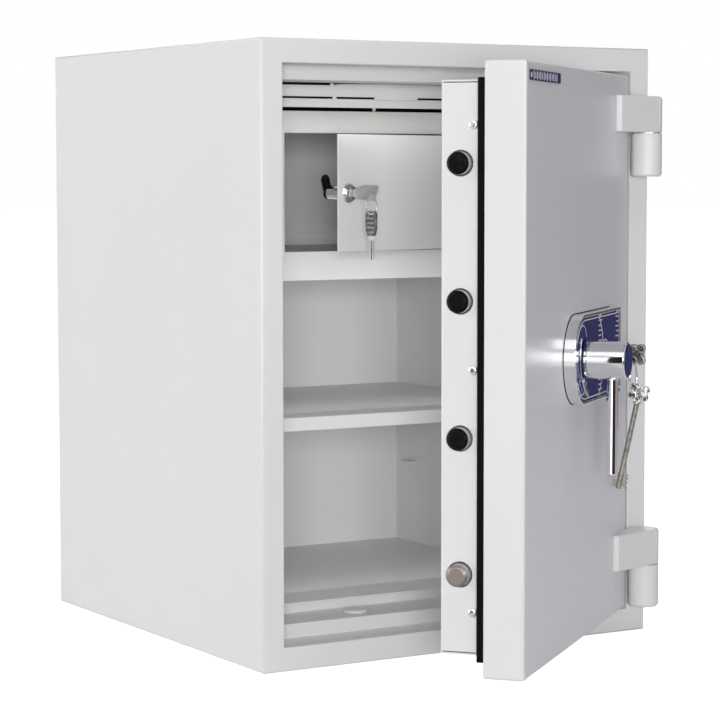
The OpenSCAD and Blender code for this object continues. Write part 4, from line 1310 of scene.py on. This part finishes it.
@dataclass
class Locker:
    """The small lockable compartment at the top of the inside.

    Attributes:
        swing: How its door stands.
        edge: Rounding of the pan-shaped door.
        bore: Radius of the hole for the plug.
        barrel: Radius of the lock's body.
        flange: Radius of the lock's flange.
        head: Height of the second key's head.
        ribs: How far the raised bars lie below the top of that head.
        narrowed: Share of its width that the second key's blade keeps.
    """

    swing: Swing
    edge: float = 0.9 * MM
    bore: float = 5.6 * MM
    barrel: float = 8.0 * MM
    flange: float = 11.0 * MM
    head: float = 27.0 * MM
    ribs: tuple[float, ...] = (8 * MM, 13 * MM, 18 * MM, 23 * MM)
    narrowed: float = 0.8

    def front(self) -> None:
        """Fixed sheets and the pan-shaped small door."""
        dress("locker_front", Finishes.INSIDE, 0.7 * MM)
        dress("locker_floor", Finishes.INSIDE, 0.5 * MM)
        coat(Finishes.STEEL, "locker_pins")
        dress("locker_door", Finishes.INSIDE, self.edge, 4)

    def lock(self) -> None:
        """Lock body with its flange and nut, the plug and the cam."""
        low, high = self.swing.box("locker_lock_body")
        middle = (low + high) / 2
        sheet = self.swing.box("locker_door")[0].y
        reach, back = sheet - low.y, high.y - sheet
        neck, lip = self.barrel - 0.2 * MM, 2.6 * MM
        body = Shape.lathe([(self.bore, -back), (self.barrel, -back), (self.barrel, 0), (self.flange, 0),
                            (self.flange, 1.2 * MM), (self.flange - 1.4 * MM, lip),
                            (self.barrel + 0.4 * MM, lip), (neck, lip - 0.4 * MM), (neck, reach),
                            (self.bore, reach), (self.bore, -back)], 64).soften(0.25 * MM, 2)
        nut = Shape.tube(self.barrel + 0.05 * MM, self.barrel + 3.4 * MM, -6 * MM, -2 * MM, 6)
        body.join(nut.soften(0.3 * MM, 2)).move(self.swing.facing(middle.x, sheet, middle.z))
        body.piece("locker_lock_body_turned", Finishes.CHROME, "small_door", ["locker_lock_body"])
        dress("locker_lock_plug", Finishes.DARK_KEY, 0.25 * MM, 2)
        dress("locker_lock_cam", Finishes.BLACKENED, 0.25 * MM, 2)

    def keys(self) -> None:
        """The small key in the lock, its ring and the second key."""
        across = self.swing.turned(1, 0)
        key = Shape.copy_of("locker_key").sink(across, 1.2 * MM, 0.25 * MM, 80 * MM * MM).soften(0.2 * MM, 2)
        key.piece("small_key_stamped", Finishes.PALE_KEY, "small_key", ["locker_key"])
        self.second_key(across)
        coat(Finishes.CHROME, "locker_key_ring")

    def second_key(self, across: Vector) -> None:
        """The hanging key, with raised bars on its head and a groove along its narrow blade.

        Args:
            across: Direction that its flat sides look along.
        """
        low, high = self.swing.box("locker_hanging_key")
        middle = (low + high) / 2
        neck = high.z - self.head
        key = Shape.copy_of("locker_hanging_key").sink(across, 1.2 * MM, 0.3 * MM, 100 * MM * MM)
        key.soften(0.2 * MM, 2).paint(1, lambda face: face.calc_center_median().z < neck)
        there = self.swing.open() @ Matrix.Translation(middle)
        squeeze = there @ Matrix.Scale(self.narrowed, 4, (0, 1, 0)) @ there.inverted()
        blade = [vertex for vertex in key.bm.verts if vertex.co.z < neck - 1 * MM]
        bmesh.ops.transform(key.bm, matrix=squeeze, verts=blade)
        for side in (-1, 1):
            for rib in self.ribs:
                bar = Shape.pad((0.9 * MM, 5 * MM), 0.6 * MM, 1.75 * MM).soften(0.3 * MM, 2)
                place = self.swing.sideways(middle.x, middle.y, high.z - rib, side)
                key.join(bar.paint(2, lambda face: True).move(place))
            groove = Shape.pad((10.2 * MM, 0.55 * MM), 0.4 * MM, 1.65 * MM)
            place = self.swing.sideways(middle.x, middle.y - 1.2 * MM, low.z + 11 * MM, side)
            key.join(groove.move(place))
        finishes = (Finishes.DARK_KEY, Finishes.KEY_BLADE, Finishes.PALE_KEY)
        key.piece("small_spare_key_cast", finishes, "small_second_key", ["locker_hanging_key"])

    def build(self) -> None:
        """Dresses the whole compartment."""
        self.front()
        self.lock()
        self.keys()


@dataclass
class Hinges:
    """The two strap hinges.

    Attributes:
        barrel: Rounding of the barrels.
        strap: Rounding of the straps.
    """

    barrel: float = 0.6 * MM
    strap: float = 1.0 * MM

    def build(self) -> None:
        """Dresses barrels, straps and washers."""
        dress("hinge_barrels", Finishes.BODY, self.barrel)
        dress("hinge_straps", Finishes.BODY, self.strap)
        coat(Finishes.STEEL, "hinge_washers")


@dataclass
class Screw:
    """A pan-head screw with a cross recess, drawn with its head's seat at the origin.

    Attributes:
        radius: Radius of the head.
        height: Height of the head.
        shank: Radius of the shank.
        reach: Length of the shank.
        facets: Facets round the head.
    """

    radius: float = 4.75 * MM
    height: float = 2.6 * MM
    shank: float = 2.45 * MM
    reach: float = 8.0 * MM
    facets: int = 40

    def shape(self) -> Shape:
        """Draws the screw along +Z.

        Returns:
            The screw.
        """
        rise = [math.radians(8 + 11 * i) for i in range(6)]
        dome = [(self.radius * math.cos(a), self.height * math.sin(a) ** 0.8) for a in rise]
        rim, crown = dome[-1][0], self.height * 0.97
        base, recess = self.height * 0.5, self.height * 0.78
        profile = [(0, -self.reach), (self.shank, -self.reach), (self.shank, 0), (self.radius, 0), *dome,
                   (rim, crown)]
        circle = arc((0, 0), rim, 0, 360 - 360 / self.facets, self.facets - 1)
        top = Shape.plate([circle, self.cross(rim * 0.86, 0.5 * MM)], recess, crown)
        floor = Shape.rod(rim, base, recess, self.facets)
        return Shape.lathe(profile, self.facets).join(top, floor).soften(0.12 * MM, 1)

    def cross(self, arm: float, half: float) -> Outline:
        """Outline of the cross recess.

        Args:
            arm: Reach of each arm.
            half: Half the width of an arm.

        Returns:
            The outline.
        """
        quarter = [(arm, -half), (arm, half), (half, half)]
        turns = [(1, 0), (0, 1), (-1, 0), (0, -1)]
        return [(x * c - y * s, x * s + y * c) for c, s in turns for x, y in quarter]


@dataclass
class Door:
    """The door slab with its badge, seal and the cover over the bolt work.

    Attributes:
        swing: How the door stands.
        badge_rim: Width of the badge's rim.
        bars: Bars in the badge's row.
        pale_reflection_below: Height below which a bolt's end is painted with a paler reflection in place of the
            dark one.
    """

    swing: Swing
    badge_rim: float = 0.8 * MM
    bars: int = 15
    pale_reflection_below: float = 0.2

    def slab(self) -> None:
        """Skin, back plate and the strips behind the slab."""
        out = self.swing.turned(0, -1)
        skin = Shape.copy_of("door_skin").soften(0.4 * MM, 2)
        skin.paint(1, lambda face: face.normal.dot(out) > 0.9)
        skin.piece("door_skin_finished", (Finishes.BODY, Finishes.FACE), "door", ["door_skin"])
        # The door's filling takes the same near-black painted shade.
        coat(Finishes.CASTING, "door_fill")
        dress("door_back_plate", Finishes.BODY, 0.3 * MM, 2)
        dress("fire_seal", Finishes.SEAL, 0.8 * MM)
        dress("heat_strip", Finishes.INSIDE, 0.5 * MM, 2)

    def cover(self) -> None:
        """Folded cover and its end plates, with a fine seam between them."""
        dress("inner_cover", Finishes.BODY, 0.5 * MM)
        dress("cover_end_plates", Finishes.BODY, 0.6 * MM)
        low, high = self.swing.box("inner_cover")
        self.screws(low.x, high.x)
        seam = Shape()
        half = (high.y - low.y) / 2 - 2.5 * MM
        for z in (high.z, low.z):
            line = Shape.pad((0.4 * MM, half), 0.3 * MM, 0.06 * MM)
            seam.join(line.move(self.swing.sideways(low.x, (low.y + high.y) / 2, z, -1)))
        seam.piece("cover_seams", Finishes.SEAL, "door")

    def screws(self, left: float, right: float) -> None:
        """Three screws in each side of the cover.

        Args:
            left: Where the cover's left side stands in X.
            right: Where its right side stands in X.
        """
        low, high = self.swing.box("cover_screws")
        middle = (low + high) / 2
        pitch = (high.z - low.z) / 2 - Screw.radius
        shape = Shape()
        for row in (-1, 0, 1):
            for side, x in ((-1, left), (1, right)):
                place = self.swing.sideways(x, middle.y, middle.z + row * pitch, side)
                shape.join(Screw().shape().move(place @ Matrix.Rotation(0.6 + row, 4, "Z")))
        shape.piece("cover_screws_cross_headed", Finishes.SCREW, "door", ["cover_screws"])

    def badge(self) -> None:
        """A plain navy badge with a dark rim, a pale pane and a row of bars."""
        low, high = self.swing.box("badge_plate")
        width, depth, height = high - low
        place = self.swing.facing(low.x, high.y, low.z)
        rim, top = self.badge_rim, depth - 0.3 * MM
        outer = rounded((0, 0), (width, height), 1.5 * MM)
        inner = rounded((rim, rim), (width - rim, height - rim), 0.9 * MM)
        edge = Shape.plate([outer, inner], 0, depth).soften(0.2 * MM, 2)
        edge.move(place).piece("badge_rim", Finishes.BLACKENED, "door")
        ground = Shape.plate([inner], 0, top).move(place)
        ground.piece("badge_field", Finishes.NAVY, "door", ["badge_plate"])
        marks = [rounded((3 * MM, 2.6 * MM), (7 * MM, height - 2.6 * MM), 0.5 * MM)]
        first, last, thick = 13 * MM, 9 * MM, 1.7 * MM
        for index in range(self.bars):
            x = first + index * (width - first - last) / self.bars
            tall = (3.0 if index % 2 else 4.2) * MM
            marks.append(square((x, height / 2 - tall), (x + thick, height / 2 + tall)))
        bars = Shape().join(*(Shape.plate([mark], top, top + 0.15 * MM) for mark in marks))
        bars.move(place).piece("badge_bars", Finishes.PRINT, "door")

    def bolts(self) -> None:
        """Locking bolts and the fixed dogs of the hinge side, whose end faces are painted dark as a painted
        reflection.
        """
        for node, side in (("locking_bolts", -1), ("fixed_dogs", 1)):
            along = self.swing.turned(side, 0)
            shape = Shape.copy_of(node).soften(0.35 * MM, 2)
            # End faces get the painted dark reflection, and the lowest bolt's end a paler painted reflection.
            shape.paint(1, lambda face, along=along: face.normal.dot(along) > 0.5)
            shape.paint(2, lambda face: face.material_index == 1
                        and face.calc_center_median().z < self.pale_reflection_below)
            finishes = (Finishes.BOLT, Finishes.BOLT_END_PAINTED_REFLECTION, Finishes.LOW_BOLT_END_PAINTED_REFLECTION)
            shape.piece(f"{node}_turned", finishes, body_of(node), [node])

    def works(self) -> None:
        """Bolt work behind the cover."""
        coat(Finishes.STEEL, "mechanism_plate", "bolt_guide_bar", "dog_bar", "carriage_studs", "lock_case",
             "key_tube", "handle_spindle")
        coat(Finishes.ZINC, "pinion", "bolt_carriage", "lock_bolt", "spindle_bushing")

    def build(self) -> None:
        """Dresses the whole door."""
        self.slab()
        self.cover()
        self.badge()
        self.bolts()
        self.works()


@dataclass
class HandleSet:
    """Handle plate, hub, lever and keys on the outside of the door.

    Attributes:
        swing: How the door stands.
        rim: Width of the bright rim of the plate.
        corner: Corner radius of the square end.
        sunk: How far the navy face lies below the rim.
        guide: Centre of the curved guide beside the hub, from the handle axis.
        guide_radius: Radius of the curved guide.
        print_thick: How far the white print stands up from the face.
        low: Lowest corner of the plate on the shut door.
        high: Highest corner of the plate on the shut door.
        hub: Where the handle axis stands in X and Z.
    """

    swing: Swing
    rim: float = 3.2 * MM
    corner: float = 4.0 * MM
    sunk: float = 0.6 * MM
    guide: Point = (18 * MM, 3 * MM)
    guide_radius: float = 39.5 * MM
    print_thick: float = 0.1 * MM
    low: Vector = field(init=False)
    high: Vector = field(init=False)
    hub: Point = field(init=False)

    def __post_init__(self) -> None:
        """Reads where the plate and the hub sit on the shut door."""
        self.low, self.high = self.swing.box("handle_plate_rim")
        radius = (self.high.z - self.low.z) / 2
        self.hub = (self.low.x + radius, (self.low.z + self.high.z) / 2)

    def outline(self, inset: float) -> Outline:
        """Outline of the plate about the handle axis.

        Args:
            inset: How far the outline is drawn in.

        Returns:
            The outline.
        """
        radius = (self.high.z - self.low.z) / 2 - inset
        end = self.high.x - self.hub[0] - inset
        corner = max(self.corner - inset / 2, 0.5 * MM)
        left = arc((0, 0), radius, 90, 270, 72)
        lower = arc((end - corner, -radius + corner), corner, 270, 360, 8)
        upper = arc((end - corner, radius - corner), corner, 0, 90, 8)
        return left + lower + upper

    def on_door(self, y: float) -> Matrix:
        """Matrix for a shape drawn about the handle axis, whose seat lies at y on the shut door."""
        return self.swing.facing(self.hub[0], y, self.hub[1])

    def plate(self) -> None:
        """Bright rim round the navy face, over a thin dark band that paints the shadow line at the rim's edge."""
        thick = self.high.y - self.low.y
        place = self.on_door(self.high.y)
        ring = Shape.plate([self.outline(0), self.outline(self.rim)], 0, thick).soften(0.8 * MM, 4)
        ring.move(place).piece("plate_rim_bright", Finishes.CHROME, "door", ["handle_plate_rim"])
        # Painted shadow: a thin dark band just outside the rim stands in for the shadow line along its edge.
        rim_shadow_band = Shape.plate([self.outline(-0.5 * MM), self.outline(0.4 * MM)], 0, 0.8 * MM)
        rim_shadow_band.move(place).piece("plate_rim_painted_shadow", Finishes.SEAL, "door")
        face = Shape.plate([self.outline(self.rim)], 1 * MM, thick - self.sunk)
        face.move(place).piece("plate_face_navy", Finishes.NAVY, "door", ["handle_plate_face"])

    def print_outlines(self) -> list[list[Outline]]:
        """Lays out the white print.

        Returns:
            Border, rows of strokes and arcs, each with its holes.
        """
        low, high = self.swing.box("main_key")
        key = (low.x + high.x) / 2 - self.hub[0]
        end = self.high.x - self.hub[0]
        outlines = [[self.outline(self.rim + 2.0 * MM), self.outline(self.rim + 3.1 * MM)]]
        pitch, stroke = 5.2 * MM, 1.2 * MM
        for side in (-1, 1):
            for row in range(6):
                y = side * (15 * MM + row * pitch)
                length = (9 if row % 2 else 13) * MM
                for x, reach in ((key - 30 * MM, length + 3 * MM), (end - 9 * MM - length, length)):
                    outlines.append([square((x, y), (x + reach, y + stroke))])
            start = 110 - 90 * side
            outlines.append([band((-12 * MM, side * 16 * MM), 19 * MM, 0.9 * MM, start, start + 140)])
        outlines += [[band((key, 0), 15 * MM, 1.4 * MM, start, start + 110)] for start in (35, 215)]
        outlines += [[band((key - 58 * MM, 0), 50 * MM, 2.0 * MM, start, start + 38)] for start in (16, -54)]
        return outlines

    def marks(self) -> None:
        """White print on the navy face, and the curved guide beside the hub."""
        level = self.high.y - self.low.y - self.sunk
        place = self.on_door(self.high.y)
        marks = [Shape.plate(outline, level - self.print_thick / 5, level + self.print_thick)
                 for outline in self.print_outlines()]
        Shape().join(*marks).move(place).piece("plate_marks_white", Finishes.PRINT, "door")
        radius = self.guide_radius
        guide = Shape.plate([band(self.guide, radius, 6.0 * MM, 214, 256)], level, level + 2.2 * MM)
        rail = Shape.plate([band(self.guide, radius, 1.6 * MM, 150, 213)], level, level + 0.8 * MM)
        guide.soften(0.7 * MM, 3).join(rail.soften(0.3 * MM, 2)).move(place)
        guide.piece("plate_turn_guide", Finishes.CHROME, "door")

    def hub_and_cap(self) -> float:
        """The hub with the ring at its foot and its cap.

        Returns:
            The radius of the hub.
        """
        low, high = self.swing.box("handle_hub")
        radius, length = (high.x - low.x) / 2, high.y - low.y
        place = self.on_door(high.y)
        foot, edge = 0.5 * MM, 1.2 * MM
        hub = Shape.lathe([(0, 0), (radius - foot, 0), (radius - foot, 2 * foot), (radius, 3 * foot),
                           (radius, length - edge), (radius - edge, length), (0, length)], 128)
        hub.soften(0.3 * MM, 3, sharp=20)
        hub.move(place).piece("hub_bright", Finishes.CHROME, "handle", ["handle_hub"])
        ring = Shape.hoop(radius + 0.8 * MM, 0.7 * MM).move(place @ Matrix.Translation((0, 0, foot)))
        ring.piece("hub_foot_ring", Finishes.BLACKENED, "door")
        outer, sunk = radius - 2.2 * MM, length - 1 * MM
        cap = Shape.lathe([(0, sunk), (outer, sunk), (outer, length + 0.5 * MM),
                           (outer - 0.8 * MM, length + 0.9 * MM), (0, length + edge)], 96)
        cap.soften(0.2 * MM, 2).move(place).piece("hub_cap_navy", Finishes.NAVY, "handle", ["handle_cap"])
        return radius

    def lever(self, hub_radius: float) -> None:
        """The lever, with a collar where it enters the hub.

        Args:
            hub_radius: Radius of the hub.
        """
        low, high = self.swing.box("handle_lever")
        radius = (high.x - low.x) / 2
        lever = Shape.rod(radius, 0, self.hub[1] - low.z, 64).soften(1.2 * MM, 5)
        collar = Shape.tube(radius, radius + 1.3 * MM, hub_radius - 1 * MM, hub_radius + 1.2 * MM, 64)
        down = self.swing.open() @ Matrix.Translation((self.hub[0], (low.y + high.y) / 2, self.hub[1]))
        lever.join(collar.soften(0.4 * MM, 2)).move(down @ Matrix.Rotation(math.pi, 4, "X"))
        lever.piece("lever_bright", Finishes.CHROME, "handle", ["handle_lever"])

    def blank(self, node: str) -> Shape:
        """A key whose flats are set back, from its node."""
        across = self.swing.turned(1, 0)
        return Shape.copy_of(node).sink(across, 1.0 * MM, 0.5 * MM, 90 * MM * MM).soften(0.25 * MM, 2)

    def keys(self) -> None:
        """The key in the lock with its filled bow, the second key with its chased bow, and their ring."""
        finishes = (Finishes.NICKEL, Finishes.CHASED)
        low, high = self.swing.box("main_key")
        middle = (low + high) / 2
        key = self.blank("main_key")
        half, height = 9 * MM, 7.5 * MM
        place = self.swing.sideways(middle.x, low.y + half, middle.z, 1)
        for web in (rounded((-half, -height), (half, 0), 3.5 * MM),
                    rounded((-half, -2 * MM), (0.5 * MM, height), 3 * MM)):
            key.join(Shape.plate([web], -0.6 * MM, 1.2 * MM).move(place))
        key.piece("main_key_cast", finishes, "key", ["main_key"])
        low, high = self.swing.box("hanging_key")
        down, reach = 11 * MM, 12.5 * MM
        bow = self.swing.open() @ Vector(((low.x + high.x) / 2, low.y + down, high.z - down))
        second = self.blank("hanging_key")
        second.paint(1, lambda face: (face.calc_center_median() - bow).length < reach)
        second.piece("spare_key_cast", finishes, "second_key", ["hanging_key"])
        coat(Finishes.CHROME, "key_ring")

    def build(self) -> None:
        """Dresses the whole handle set."""
        self.plate()
        self.marks()
        self.lever(self.hub_and_cap())
        self.keys()


def main() -> None:
    """Builds the looks of the safe in order."""
    logging.basicConfig(level=logging.INFO, format="%(message)s")
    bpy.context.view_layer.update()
    Studio().build()
    door = Swing.of("door_swing")
    small_door = Swing.of("small_door_swing")
    Cabinet().build()
    Locker(small_door).build()
    Hinges().build()
    Door(door).build()
    HandleSet(door).build()


if __name__ == "__main__":
    main()
